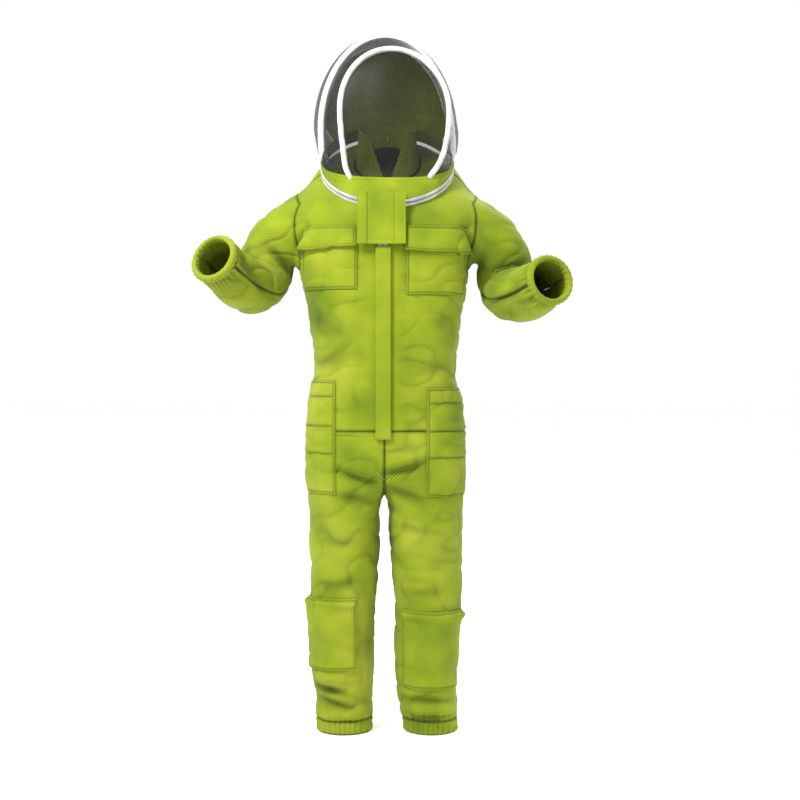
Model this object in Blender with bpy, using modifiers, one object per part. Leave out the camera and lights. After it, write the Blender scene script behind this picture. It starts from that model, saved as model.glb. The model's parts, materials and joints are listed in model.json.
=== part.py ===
"""A beekeeper's one-piece suit of thick spacer fabric, with a hooped veil hood that zips on round the neck.

Lengths are in metres. Heights are above the floor under the wearer's feet, +X is the wearer's left and
-Y the front. The root empty lowers it all, so that the suit's own origin lies between its shoulders.
"""

import math

import bmesh
import bpy
from mathutils import Matrix, Vector

SHOULDER_HEIGHT = 1.42
FABRIC = 0.005  # spacer fabric, three layers
GAP = 0.0003  # between pieces that touch
SEAM_GAP = 0.0008  # each panel's edge stands back this far from its seam

# The torso, ring by ring: height, half width, depth to the front and to the back, squareness.
TORSO_COLUMNS = 20  # column 0 is the front centre, column 5 the wearer's left side
WAIST_SEAM = 0.8225
ARMPIT = 1.235
TORSO_RINGS = (
    (0.715, 0.196, 0.128, 0.140, 0.80),
    (0.770, 0.197, 0.134, 0.145, 0.78),
    (WAIST_SEAM, 0.195, 0.136, 0.144, 0.75),
    (0.900, 0.187, 0.136, 0.139, 0.74),
    (0.975, 0.173, 0.136, 0.134, 0.72),
    (1.060, 0.181, 0.136, 0.135, 0.70),
    (1.150, 0.198, 0.136, 0.138, 0.66),
    (ARMPIT, 0.207, 0.136, 0.141, 0.62),
)
# Above the armpit each ring rises towards the tilted neck ring, by this share of the way.
SHOULDER_RINGS = (
    (0.19, 0.213, 0.136, 0.145, 0.62),
    (0.38, 0.216, 0.136, 0.148, 0.62),
    (0.57, 0.214, 0.135, 0.148, 0.65),
    (0.755, 0.205, 0.133, 0.145, 0.72),
    (0.90, 0.186, 0.128, 0.137, 0.85),
)
ARMHOLE_ROWS = 4
SEWN_RADIUS = 0.160  # of the neckline that the zip is sewn round
SEWN_DROP = 0.012
YOKE_RINGS = ((SEWN_RADIUS, -SEWN_DROP), (0.122, -0.004), (0.085, 0.008))  # radius, height over the zip
CROTCH = ((-0.070, 0.690), (0.0, 0.675), (0.075, 0.690))  # depth and height, front to back

# The neck zip is a circle that is low in front and high behind.
ZIP_CENTRE = Vector((0.006, 0.0, 1.480))
ZIP_RADIUS = 0.165
ZIP_TILT = math.radians(40)
ZIP_UP = Vector((0.0, -math.sin(ZIP_TILT), math.cos(ZIP_TILT)))
ZIP_BACK = Vector((0.0, math.cos(ZIP_TILT), math.sin(ZIP_TILT)))
ZIP_STEPS = 40

# Each leg, ring by ring: height, distance of its inner and outer side from the middle, front, back.
LEG_SIDES = 14
LEG_LEFT = (
    (0.620, 0.010, 0.196, 0.118, 0.128),
    (0.520, 0.009, 0.196, 0.108, 0.115),
    (0.420, 0.027, 0.190, 0.102, 0.102),
    (0.320, 0.023, 0.184, 0.096, 0.096),
    (0.220, 0.023, 0.177, 0.086, 0.086),
    (0.150, 0.030, 0.178, 0.079, 0.080),
    (0.106, 0.046, 0.182, 0.073, 0.074),
    (0.078, 0.046, 0.182, 0.073, 0.074),
)
LEG_RIGHT = (
    (0.620, 0.018, 0.189, 0.118, 0.128),
    (0.520, 0.009, 0.186, 0.108, 0.115),
    (0.420, 0.025, 0.191, 0.102, 0.102),
    (0.320, 0.026, 0.192, 0.096, 0.096),
    (0.220, 0.031, 0.180, 0.086, 0.086),
    (0.150, 0.034, 0.175, 0.079, 0.080),
    (0.106, 0.033, 0.171, 0.073, 0.074),
    (0.078, 0.033, 0.171, 0.073, 0.074),
)

# The middle line of each sleeve from the armhole round the bent elbow to the wrist, with its radius.
SLEEVE_SIDES = 12
SLEEVE_SHARES = (0.0, 0.20, 0.38, 0.51, 0.64, 0.76, 0.88, 1.0)  # of the way to the wrist, at each ring
SLEEVE_LEFT = (
    (0.216, 0.000, 1.330, 0.076),
    (0.290, 0.006, 1.284, 0.076),
    (0.303, 0.014, 1.180, 0.073),
    (0.334, -0.100, 1.158, 0.068),
    (0.384, -0.205, 1.183, 0.057),
)
SLEEVE_RIGHT = (
    (0.216, 0.000, 1.330, 0.076),
    (0.293, 0.006, 1.287, 0.075),
    (0.308, 0.014, 1.190, 0.073),
    (0.346, -0.095, 1.186, 0.068),
    (0.395, -0.188, 1.232, 0.057),
)
CUFF_LENGTH = 0.022
CUFF_OUTER = 0.061
CUFF_INNER = 0.046

# The stand collar inside the hood, round the wearer's neck.
COLLAR_BASE = 0.078
COLLAR_TOP = 0.072
COLLAR_HEIGHT = 0.088
COLLAR_FOOT = 0.010  # rise of its foot over the zip's plane
COLLAR_LEAN = 0.010  # how far its top stands back
COLLAR_DIP = 0.020  # how much lower its back is than its front
COLLAR_CLOTH = 0.003
COLLAR_SEAM = math.radians(0.5)  # half the gap between its two halves at the back
COLLAR_SPLIT = (math.radians(5), math.radians(42))  # where its front edge starts, at the foot and at the top

# The hood. It looks a little to the wearer's left of the body.
HOOD_TURN = math.radians(9)
TURN_FROM = 0.012  # rise over the zip where the turn starts, and where it is complete
TURN_DONE = 0.090
HOOP_BAR = 0.007  # radius of a hoop in its white binding
FRONT_HOOP = {"middle": 1.600, "up": 0.155, "down": 0.250, "half": 0.134, "foot": 1.456}
REAR_HOOP = {"middle": 1.570, "up": 0.238, "down": 0.330, "half": 0.163, "foot": 1.524}
FRONT_HOOP_Y = -0.122
FRONT_HOOP_BEND = 0.9  # how fast it curves back above and below its middle
REAR_HOOP_Y = 0.018
REAR_HOOP_LEAN = 0.10
DOME_DEPTH = 0.132
DOME_HALF = 0.169
DOME_WAIST = 0.30  # share of the way up the dome where it is widest
DOME_LIFT = 0.075  # how much higher the hood is widest at the back, above the zip there
REAR_STRIP = 0.034  # width of the black net behind the rear hoop
VEIL = 0.0015
VEIL_BULGE = 0.020
FACE_ROWS = 9
FACE_TOP_HALF = 0.012  # half width of the face net at its highest row
FACE_FOOT_TURN = math.radians(36)  # turn round the zip to each end of its lowest row
CROWN_EDGE = 0.095  # share of the way between the hoops where the crown net starts
CROWN_FOOT = 0.015  # share of the way up the hoops where it starts
CROWN_SWELL = 0.010
BAND_HEIGHT = 0.056  # of the hood's green band at its front centre
BAND_ENDS = 0.010
BAND_REACH = math.radians(88)  # turn round the zip to each end of the band
BAND_LEAN = Vector((0, 0.10, 1)).normalized()
HOOD_FOOT = 0.0108  # rise over the zip where the hood's cloth starts, just over the zip tape
HOOD_CLOTH = 0.003

# The front closing, on a straight strip down the middle of the chest. Depths are Y, outwards is less.
FRONT_ZIP_X = -0.0025
FRONT_ZIP_SPAN = (0.815, 1.345)
TAPE_DEPTHS = (-0.1385, -0.1375)
TEETH_DEPTHS = (-0.1402, -0.1388)
SLIDER_DEPTHS = (-0.1429, -0.1405)
PULLER_DEPTHS = (-0.1440, -0.1432)
TAPE_HALF = 0.0120
TEETH_HALF = 0.0025
SLIDER_HALF = 0.0048
PULLER_HALF = 0.0028
SLIDER_SPAN = (1.324, 1.338)
PULLER_SPAN = (1.314, 1.334)
PLACKET = ((-0.0215, -0.1482, 0.8075), (0.0165, -0.1388, 1.2720))
TUNNEL_HALF = 0.0072
TUNNEL_ROOF = -0.1462
TUNNEL_FOOT = 0.8140

# The square flap that hangs from the hood over the meeting of both zips.
NECK_FLAP_SPAN = (-0.066, 0.051, 1.277, 1.402)
NECK_FLAP_TOP_Y = -0.1370
NECK_FLAP_FOOT_Y = -0.1530
NECK_FLAP_THICK = 0.003
HOOK_TAPE_THICK = 0.0012
HOOK_TAPES = {"left": (0.020, 0.047), "right": (0.026, 0.062)}  # distance from the middle
HOOK_TAPE_RISE = (1.281, 1.299)

# A neck zip slider in the frame of its place on the zip: across, outwards and up.
NECK_SLIDER_TURN = math.radians(4)
NECK_SLIDER = ((-0.0045, 0.0023, -0.0050), (0.0045, 0.0062, 0.0050))
NECK_PULLER = (0.0025, 0.0008, 0.0165)  # half width, thickness, length
NECK_PULLER_REACH = 0.0068

# Patches on the front: lowest and highest X from the middle, lowest and highest height.
CHEST_POCKETS = {"left": (0.052, 0.196, 1.155, 1.300), "right": (0.064, 0.198, 1.168, 1.300)}
CHEST_FLAPS = {"left": (0.048, 0.199, 1.262, 1.322), "right": (0.066, 0.201, 1.270, 1.322)}
HIP_POCKETS = {"left": (0.101, 0.230, 0.665, 0.932), "right": (0.117, 0.230, 0.672, 0.950)}
KNEE_PATCHES = {"left": (0.046, 0.230, 0.192, 0.388), "right": (0.070, 0.230, 0.240, 0.420)}
PATCH_LIFT = 0.0010
FLAP_LIFT = 0.0056
FLAP_THICK = 0.0030
PATCH_THICK = 0.004
KNEE_THICK = 0.008

GREEN = (0.397, 0.564, 0.045)
NET_BLACK = (0.010, 0.010, 0.011)
WHITE = (0.86, 0.87, 0.87)
STEEL = (0.60, 0.61, 0.62)


def clear_scene():
    for obj in list(bpy.data.objects):
        bpy.data.objects.remove(obj, do_unlink=True)


def collection(name):
    made = bpy.data.collections.new(name)
    bpy.context.scene.collection.children.link(made)
    return made


def finish(name, colour, roughness, metallic=0.0):
    material = bpy.data.materials.new(name)
    material.use_nodes = True
    shader = material.node_tree.nodes["Principled BSDF"]
    shader.inputs["Base Color"].default_value = (*colour, 1.0)
    shader.inputs["Roughness"].default_value = roughness
    shader.inputs["Metallic"].default_value = metallic
    return material


def pivot(name, parts, place, parent=None):
    """An empty on a joint's axis. The pieces of the moving body hang on it."""
    empty = bpy.data.objects.new(name, None)
    empty.empty_display_size = 0.03
    parts.objects.link(empty)
    empty.location = place
    if parent:
        hang(empty, parent)
    return empty


def hang(obj, parent):
    """Parents an object that was made in the suit's own coordinates."""
    bpy.context.view_layer.update()
    obj.parent = parent
    obj.matrix_parent_inverse = parent.matrix_world.inverted()


def object_of(name, mesh, parts, parent, material, sharp=35):
    obj = bpy.data.objects.new(name, mesh)
    parts.objects.link(obj)
    mesh.materials.clear()
    mesh.materials.append(material)
    mesh.shade_smooth()
    mesh.set_sharp_from_angle(angle=math.radians(sharp))
    hang(obj, parent)
    return obj


def mesh_of(name, points, faces):
    mesh = bpy.data.meshes.new(name)
    mesh.from_pydata([tuple(point) for point in points], [], faces)
    mesh.validate()
    return mesh


def thicken(obj, thickness, offset):
    solid = obj.modifiers.new("thickness", "SOLIDIFY")
    solid.thickness = thickness
    solid.offset = offset
    return solid


def sheet(name, rows, thickness, parts, parent, material, offset=-1.0):
    """An open sheet through rows of points, given its thickness. Its front is where the rows run to
    the right seen from outside and are listed from the bottom up."""
    wide = len(rows[0])
    points = [point for row in rows for point in row]
    faces = [
        (r * wide + c, r * wide + c + 1, (r + 1) * wide + c + 1, (r + 1) * wide + c)
        for r in range(len(rows) - 1)
        for c in range(wide - 1)
    ]
    obj = object_of(name, mesh_of(name, points, faces), parts, parent, material)
    thicken(obj, thickness, offset)
    return obj


def box(name, low, high, parts, parent, material, bevel=0.0, frame=None):
    """A box between two corners, in the suit's own coordinates or in a frame's."""
    bm = bmesh.new()
    bmesh.ops.create_cube(bm, size=1.0)
    size = Vector(high) - Vector(low)
    middle = (Vector(high) + Vector(low)) / 2
    place = Matrix.Translation(middle) @ Matrix.Diagonal((*size, 1))
    bmesh.ops.transform(bm, matrix=(frame or Matrix()) @ place, verts=bm.verts)
    mesh = bpy.data.meshes.new(name)
    bm.to_mesh(mesh)
    bm.free()
    obj = object_of(name, mesh, parts, parent, material)
    if bevel:
        round_off = obj.modifiers.new("edges", "BEVEL")
        round_off.width = bevel
        round_off.segments = 1
    return obj


def turned(name, profile, place, axis, parts, parent, material, steps=ZIP_STEPS):
    """A ring with this closed profile of radius and height, turned about an axis through a place."""
    mesh = bpy.data.meshes.new(name)
    edges = [(i, (i + 1) % len(profile)) for i in range(len(profile))]
    mesh.from_pydata([(radius, 0.0, height) for radius, height in profile], edges, [])
    obj = bpy.data.objects.new(name, mesh)
    parts.objects.link(obj)
    mesh.materials.append(material)
    screw = obj.modifiers.new("turn", "SCREW")
    screw.axis = "Z"
    screw.steps = steps
    screw.render_steps = steps
    screw.use_merge_vertices = True
    screw.merge_threshold = 0.00005
    screw.use_smooth_shade = True
    obj.rotation_euler = axis.to_track_quat("Z", "Y").to_euler()
    obj.location = place
    hang(obj, parent)
    return obj


# ---- the garment's surface ------------------------------------------------------------------------


def outline(half_width, front, back, squareness, column):
    turn = 2 * math.pi * column / TORSO_COLUMNS
    across = math.sin(turn)
    ahead = math.cos(turn)
    x = half_width * math.copysign(abs(across) ** squareness, across)
    depth = front if ahead > 0 else back
    return x, -depth * math.copysign(abs(ahead) ** squareness, ahead)


def on_zip(radius, rise, turn):
    """A point round the neck zip's axis: turn is 0 at the front centre and grows to the wearer's left."""
    around = math.sin(turn) * Vector((1, 0, 0)) - math.cos(turn) * ZIP_BACK
    return ZIP_CENTRE + radius * around + rise * ZIP_UP


def torso_grid():
    grid = []
    for height, *shape in TORSO_RINGS:
        ring = [outline(*shape, c) for c in range(TORSO_COLUMNS)]
        grid.append([Vector((x, y, height)) for x, y in ring])
    turns = [2 * math.pi * c / TORSO_COLUMNS for c in range(TORSO_COLUMNS)]
    necks = [on_zip(*YOKE_RINGS[0], turn) for turn in turns]
    for share, *shape in SHOULDER_RINGS:
        ring = [outline(*shape, c) for c in range(TORSO_COLUMNS)]
        heights = [ARMPIT + share * (neck.z - ARMPIT) for neck in necks]
        slide = ZIP_CENTRE.x * share
        grid.append([Vector((x + slide, y, z)) for (x, y), z in zip(ring, heights)])
    for radius, rise in YOKE_RINGS:
        grid.append([on_zip(radius, rise, turn) for turn in turns])
    return grid


def leg_ring(side, height, inner, outer, front, back):
    """Starts at the front near the middle line, and goes round the outer side to the back."""
    ring = []
    first = LEG_SIDES // 2 - 2
    for i in range(LEG_SIDES):
        turn = 2 * math.pi * (i - first) / LEG_SIDES
        x = (inner + outer) / 2 + (outer - inner) / 2 * math.cos(turn)
        y = math.sin(turn) * (front if math.sin(turn) < 0 else back)
        ring.append(Vector((side * x, y, height)))
    return ring


def spline(points, share):
    """A smooth curve through all the points, and its direction."""
    last = len(points) - 1
    step = min(int(share * last), last - 1)
    t = share * last - step
    before = points[max(step - 1, 0)]
    start = points[step]
    end = points[step + 1]
    after = points[min(step + 2, last)]
    slope_in = (end - before) / (2 if step else 1)
    slope_out = (after - start) / (2 if step < last - 1 else 1)
    place = (
        start * (2 * t**3 - 3 * t**2 + 1)
        + slope_in * (t**3 - 2 * t**2 + t)
        + end * (3 * t**2 - 2 * t**3)
        + slope_out * (t**3 - t**2)
    )
    along = (
        (start - end) * (6 * t**2 - 6 * t)
        + slope_in * (3 * t**2 - 4 * t + 1)
        + slope_out * (3 * t**2 - 2 * t)
    )
    return place, along.normalized()


def sleeve_frames(side, line):
    """Middle, radius and two cross directions at each ring of a sleeve, from the armhole to the wrist."""
    middles = [Vector((side * x, y, z)) for x, y, z, _ in line]
    radii = [Vector((radius, 0, 0)) for *_, radius in line]
    heading = Vector((side, 0, 0))
    top = Vector((0, 0, 1))
    front = Vector((0, -1, 0))
    frames = []
    for share in SLEEVE_SHARES:
        middle, along = spline(middles, share)
        turn = heading.rotation_difference(along)
        top = turn @ top
        front = turn @ front
        heading = along
        frames.append((middle, spline(radii, share)[0].x, top.copy(), front.copy(), along.copy()))
    return frames


def sleeve_ring(middle, radius, top, front, _along):
    turns = [2 * math.pi * i / SLEEVE_SIDES for i in range(SLEEVE_SIDES)]
    return [middle + radius * (math.sin(turn) * front - math.cos(turn) * top) for turn in turns]


class Garment:
    """The outer surface of the coverall as one mesh of quads, each marked with its cut panel."""

    def __init__(self):
        self.points = []
        self.faces = []
        self.panels = []

    def ring(self, points):
        start = len(self.points)
        self.points += points
        return list(range(start, len(self.points)))

    def tube(self, rings, panel_of):
        """Joins rings of point numbers. panel_of names the panel of a row and column."""
        for row in range(len(rings) - 1):
            below = rings[row]
            above = rings[row + 1]
            count = len(below)
            for c in range(count):
                panel = panel_of(row, c)
                if panel:
                    n = (c + 1) % count
                    self.faces.append((below[c], below[n], above[n], above[c]))
                    self.panels.append(panel)

    def normals(self):
        found = [Vector() for _ in self.points]
        for face in self.faces:
            a, b, c, d = (self.points[i] for i in face)
            across = (c - a).cross(d - b)
            for i in face:
                found[i] += across
        return [normal.normalized() for normal in found]


def build_garment():
    garment = Garment()
    grid = [garment.ring(row) for row in torso_grid()]
    crotch = garment.ring([Vector((0.0, y, z)) for y, z in CROTCH])
    waist = [row[0] for row in TORSO_RINGS].index(WAIST_SEAM)
    armpit = len(TORSO_RINGS) - 1
    sewn = len(TORSO_RINGS) + len(SHOULDER_RINGS)
    quarter = TORSO_COLUMNS // 4

    def torso_panel(row, column):
        front = column < quarter or column >= 3 * quarter
        side = "left" if column < 2 * quarter else "right"
        if row < waist:
            return f"leg_{'front' if front else 'back'}_{side}"
        if row >= sewn:
            return "neck_yoke"
        from_side = column - quarter if side == "left" else column - 3 * quarter
        if armpit <= row < armpit + ARMHOLE_ROWS and from_side in (-1, 0):
            return None
        return f"bodice_front_{side}" if front else "bodice_back"

    garment.tube(grid, torso_panel)
    for side, name, leg, line in ((1, "left", LEG_LEFT, SLEEVE_LEFT), (-1, "right", LEG_RIGHT, SLEEVE_RIGHT)):
        half = [(side * c) % TORSO_COLUMNS for c in range(2 * quarter + 1)]
        rings = [[grid[0][c] for c in half] + crotch[::-1]]
        rings += [garment.ring(leg_ring(side, *ring)) for ring in leg]
        hem = len(rings) - 2

        def leg_panel(row, column, name=name, hem=hem):
            if row == hem:
                return f"hem_{name}"
            front = column < quarter or column >= LEG_SIDES - 2
            return f"leg_{'front' if front else 'back'}_{name}"

        garment.tube([ring[::-side] for ring in rings], turned_about(leg_panel, LEG_SIDES, side))
        columns = [side * quarter % TORSO_COLUMNS, side * (quarter - 1) % TORSO_COLUMNS]
        columns.append(side * (quarter + 1) % TORSO_COLUMNS)
        middle, front, back = columns
        rows = range(armpit, armpit + ARMHOLE_ROWS + 1)
        loop = [grid[armpit][middle]] + [grid[r][front] for r in rows] + [grid[rows[-1]][middle]]
        loop += [grid[r][back] for r in reversed(rows)]
        rings = [loop] + [garment.ring(sleeve_ring(*frame)) for frame in sleeve_frames(side, line)[1:]]

        def sleeve_panel(_row, column, name=name):
            return f"sleeve_{'front' if column < SLEEVE_SIDES // 2 else 'back'}_{name}"

        garment.tube([ring[::-side] for ring in rings], turned_about(sleeve_panel, SLEEVE_SIDES, side))
    return garment


def turned_about(panel_of, count, side):
    """The same panels where the ring was listed backwards to keep its faces outwards."""
    if side < 0:
        return panel_of
    return lambda row, column: panel_of(row, (count - 2 - column) % count)


def panel(name, garment, normals, parts, parent, material):
    """One cut panel with its thickness. All panels share the garment's normals, so that the walls of two
    neighbours stay parallel at their seam."""
    faces = [face for face, owner in zip(garment.faces, garment.panels) if owner == name]
    uses = {}
    for face in faces:
        for i, a in enumerate(face):
            edge = frozenset((a, face[(i + 1) % 4]))
            uses[edge] = uses.get(edge, 0) + 1
    numbers = sorted({i for face in faces for i in face})
    inwards = {}
    for face in faces:
        a, b, c, d = (garment.points[i] for i in face)
        across = (c - a).cross(d - b)
        for i, start in enumerate(face):
            end = face[(i + 1) % 4]
            if uses[frozenset((start, end))] == 1:
                into = across.cross(garment.points[end] - garment.points[start]).normalized()
                inwards[start] = inwards.get(start, Vector()) + into
                inwards[end] = inwards.get(end, Vector()) + into
    outer = {}
    points = []
    for i in numbers:
        outer[i] = len(points)
        place = garment.points[i]
        if i in inwards:
            along = inwards[i] - inwards[i].dot(normals[i]) * normals[i]
            place = place + SEAM_GAP * along.normalized()
        points += [place, place - FABRIC * normals[i]]
    solid = [tuple(outer[i] for i in face) for face in faces]
    solid += [tuple(outer[i] + 1 for i in reversed(face)) for face in faces]
    for face in faces:
        for n, a in enumerate(face):
            b = face[(n + 1) % 4]
            if uses[frozenset((a, b))] > 1:
                continue
            if a < b:
                solid += [(outer[b], outer[a], outer[b] + 1), (outer[a], outer[a] + 1, outer[b] + 1)]
            else:
                solid += [(outer[b], outer[a], outer[a] + 1), (outer[b], outer[a] + 1, outer[b] + 1)]
    return object_of(name, mesh_of(name, points, solid), parts, parent, material)


def patch(name, garment, span, side, lift, thickness, parts, parent, material):
    """A piece sewn on the garment's front: its surface inside a span, lifted clear and thickened."""
    near, far, low, high = span
    bm = bmesh.new()
    corners = [bm.verts.new(point) for point in garment.points]
    for face, owner in zip(garment.faces, garment.panels):
        if not owner.startswith(("sleeve", "hem", "neck")):
            bm.faces.new([corners[i] for i in face])
    cuts = (
        ((side * near, 0, 0), (-side, 0, 0)),
        ((side * far, 0, 0), (side, 0, 0)),
        ((0, 0, low), (0, 0, -1)),
        ((0, 0, high), (0, 0, 1)),
        ((0, -0.012, 0), (0, 1, 0)),
    )
    for place, outwards in cuts:
        whole = bm.verts[:] + bm.edges[:] + bm.faces[:]
        bmesh.ops.bisect_plane(bm, geom=whole, plane_co=place, plane_no=outwards, clear_outer=True)
    loose = [vert for vert in bm.verts if not vert.link_faces]
    bmesh.ops.delete(bm, geom=loose, context="VERTS")
    bm.normal_update()
    for vert in bm.verts:
        vert.co += lift * vert.normal
    mesh = bpy.data.meshes.new(name)
    bm.to_mesh(mesh)
    bm.free()
    obj = object_of(name, mesh, parts, parent, material)
    thicken(obj, thickness, 1.0)
    return obj


# ---- the pieces -----------------------------------------------------------------------------------


def cuff(name, side, line, parts, parent, material):
    """The gathered band at the wrist. Its end face is flat, for a glove to butt on."""
    middle, _, _, _, along = sleeve_frames(side, line)[-1]
    profile = (
        (CUFF_OUTER - 0.004, CUFF_LENGTH),
        (CUFF_OUTER, CUFF_LENGTH * 0.75),
        (CUFF_OUTER, CUFF_LENGTH * 0.30),
        (CUFF_OUTER - 0.006, 0.0),
        (CUFF_INNER, 0.0),
        (CUFF_INNER, CUFF_LENGTH),
    )
    return turned(name, profile, middle + GAP * 2 * along, along, parts, parent, material, steps=28)


def collar_half(name, side, parts, parent, material):
    foot_from, top_from = COLLAR_SPLIT
    columns = 9
    foot, top = [], []
    for c in range(columns):
        share = c / (columns - 1)
        low = foot_from + share * (math.pi - COLLAR_SEAM - foot_from)
        high = top_from + share * (math.pi - COLLAR_SEAM - top_from)
        foot.append(on_zip(COLLAR_BASE, COLLAR_FOOT, side * low))
        rise = COLLAR_HEIGHT + COLLAR_DIP * math.cos(high)
        top.append(on_zip(COLLAR_TOP, COLLAR_FOOT, side * high) + Vector((0, COLLAR_LEAN, rise)))
    rows = [foot, [a.lerp(b, 0.5) for a, b in zip(foot, top)], top]
    rows = [row[::side] for row in rows]
    return sheet(name, rows, COLLAR_CLOTH, parts, parent, material)


def zip_ring(name, low, high, inner, outer, parts, parent, material):
    profile = ((outer, high), (outer, low), (inner, low), (inner, high))
    return turned(name, profile, ZIP_CENTRE, ZIP_UP, parts, parent, material)


def hood_turned(point):
    """Turns a point of the hood about the neck, less and less towards the zip."""
    rise = (point - ZIP_CENTRE).dot(ZIP_UP)
    share = min(max((rise - TURN_FROM) / (TURN_DONE - TURN_FROM), 0.0), 1.0)
    turn = Matrix.Rotation(HOOD_TURN * share * share * (3 - 2 * share), 3, "Z")
    foot = Vector((ZIP_CENTRE.x, 0, 0))
    return foot + turn @ (point - foot)


def hoop_x(hoop, height):
    """Half the hoop's width at a height."""
    rise = height - hoop["middle"]
    reach = hoop["up"] if rise > 0 else hoop["down"]
    return hoop["half"] * math.sqrt(max(0.0, 1 - (rise / reach) ** 2))


def hoop_arc(hoop, share):
    """A point of the arch, from the wearer's right foot (0) over the top (0.5) to the left foot (1)."""
    low = math.asin((hoop["foot"] - hoop["middle"]) / hoop["down"])
    turn = low + (math.pi / 2 - low) * (1 - abs(2 * share - 1))
    height = hoop["middle"] + (hoop["up"] if turn > 0 else hoop["down"]) * math.sin(turn)
    x = math.copysign(hoop["half"] * math.cos(turn), share - 0.5)
    return ZIP_CENTRE.x + x, height


def front_hoop_y(height):
    """The front hoop leans out a little at half its height."""
    middle = FRONT_HOOP["middle"]
    return FRONT_HOOP_Y + FRONT_HOOP_BEND * (height - middle) ** 2 + 0.06 * max(0.0, height - middle)


def rear_hoop_y(height):
    return REAR_HOOP_Y - REAR_HOOP_LEAN * max(0.0, REAR_HOOP["middle"] - height)


def front_hoop_point(share):
    x, height = hoop_arc(FRONT_HOOP, share)
    return Vector((x, front_hoop_y(height), height))


def rear_hoop_point(share):
    x, height = hoop_arc(REAR_HOOP, share)
    return Vector((x, rear_hoop_y(height), height))


def hoop(name, point_of, parts, parent, material, points=25):
    curve = bpy.data.curves.new(name, "CURVE")
    curve.dimensions = "3D"
    curve.bevel_depth = HOOP_BAR
    curve.bevel_resolution = 2
    curve.use_fill_caps = True
    curve.resolution_u = 1
    spline_ = curve.splines.new("POLY")
    spline_.points.add(points - 1)
    for i in range(points):
        spline_.points[i].co = (*hood_turned(point_of(i / (points - 1))), 1.0)
    curve.materials.append(material)
    obj = bpy.data.objects.new(name, curve)
    parts.objects.link(obj)
    hang(obj, parent)
    return obj


def band_top(turn):
    """The upper edge of the hood's green band, at this turn round the neck zip."""
    foot = on_zip(ZIP_RADIUS, HOOD_FOOT, turn)
    height = BAND_ENDS + (BAND_HEIGHT - BAND_ENDS) * max(0.0, math.cos(turn)) ** 1.6
    return foot + height * BAND_LEAN


def hood_band(parts, parent, material):
    turns = [BAND_REACH * (c / 12 - 1) for c in range(25)]
    foot = [on_zip(ZIP_RADIUS, HOOD_FOOT, turn) for turn in turns]
    top = [band_top(turn) for turn in turns]
    rows = [foot, [a.lerp(b, 0.5) for a, b in zip(foot, top)], top]
    turned_rows = [[hood_turned(point) for point in row] for row in rows]
    return sheet("hood_collar_band", turned_rows, HOOD_CLOTH, parts, parent, material)


def face_veil(parts, parent, material):
    """The net that the wearer looks through, bowed forwards between the limbs of the front hoop."""
    rows = []
    inset = HOOP_BAR + VEIL
    acrosses = [c / 5 - 1 for c in range(11)]
    middle = FRONT_HOOP["middle"]
    low = FRONT_HOOP["foot"] + 0.004
    high = middle + FRONT_HOOP["up"] - inset - 0.002
    for r in range(FACE_ROWS + 1):
        height = low + (high - low) * math.sin(math.pi / 2 * r / FACE_ROWS)
        arch = inset * max(0.0, height - middle) / FRONT_HOOP["up"]
        half = max(hoop_x(FRONT_HOOP, height + arch) - inset, FACE_TOP_HALF)
        bow = VEIL_BULGE * min(1.0, half / 0.10)
        y = front_hoop_y(height)
        rows.append([Vector((ZIP_CENTRE.x + half * a, y - bow * (1 - a**2), height)) for a in acrosses])
    rows.insert(0, [band_top(FACE_FOOT_TURN * a) + Vector((0, 0, 0.0022)) for a in acrosses])
    turned_rows = [[hood_turned(point) for point in row] for row in rows]
    return sheet("veil_face_net", turned_rows, VEIL, parts, parent, material)


def crown_veil(parts, parent, material):
    """The net over the head between the two hoops."""
    rows = []
    for r in range(5):
        share = CROWN_EDGE + (1 - 2 * CROWN_EDGE) * r / 4
        row = []
        for c in range(25):
            along = CROWN_FOOT + (1 - 2 * CROWN_FOOT) * c / 24
            swell = CROWN_SWELL * math.sin(math.pi * share) * math.sin(math.pi * along)
            place = front_hoop_point(along).lerp(rear_hoop_point(along), share)
            above = max(0.0, place.z - FRONT_HOOP["middle"])
            outwards = Vector((place.x - ZIP_CENTRE.x, 0, above)).normalized()
            row.append(hood_turned(place + swell * outwards))
        rows.append(row)
    return sheet("veil_crown_net", rows, VEIL, parts, parent, material)


def dome_point(turn, rise):
    """A point behind the rear hoop: turn goes from the right side (0) round the back to the left (pi),
    and rise from the zip (0) to the top of the head (1)."""
    around = Vector((-math.cos(turn), math.sin(turn), 0))
    middle = REAR_HOOP["middle"] + DOME_LIFT * math.sin(turn)
    if rise >= DOME_WAIST:
        lift = math.pi / 2 * (rise - DOME_WAIST) / (1 - DOME_WAIST)
        flat = Vector((DOME_HALF * around.x, DOME_DEPTH * around.y, 0)) * math.cos(lift)
        top = REAR_HOOP["middle"] + REAR_HOOP["up"] - 0.004
        height = middle + (top - middle) * math.sin(lift)
        return Vector((ZIP_CENTRE.x, REAR_HOOP_Y, height)) + flat
    zip_turn = math.pi / 2 + (math.pi - turn)
    low = on_zip(ZIP_RADIUS, HOOD_FOOT, zip_turn)
    high = Vector((ZIP_CENTRE.x + DOME_HALF * around.x, REAR_HOOP_Y + DOME_DEPTH * around.y, middle))
    return low.lerp(high, rise / DOME_WAIST)


def dome_surface():
    """The hood behind its rear hoop as one open surface, before it is cut into net and fabric."""
    bm = bmesh.new()
    rows = 11
    columns = 17
    grid = []
    for r in range(rows):
        rise = 0.985 * r / (rows - 1)
        turns = [math.pi * c / (columns - 1) for c in range(columns)]
        grid.append([bm.verts.new(dome_point(turn, rise)) for turn in turns])
    for r in range(rows - 1):
        for c in range(columns - 1):
            bm.faces.new((grid[r][c + 1], grid[r][c], grid[r + 1][c], grid[r + 1][c + 1]))
    return bm


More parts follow.
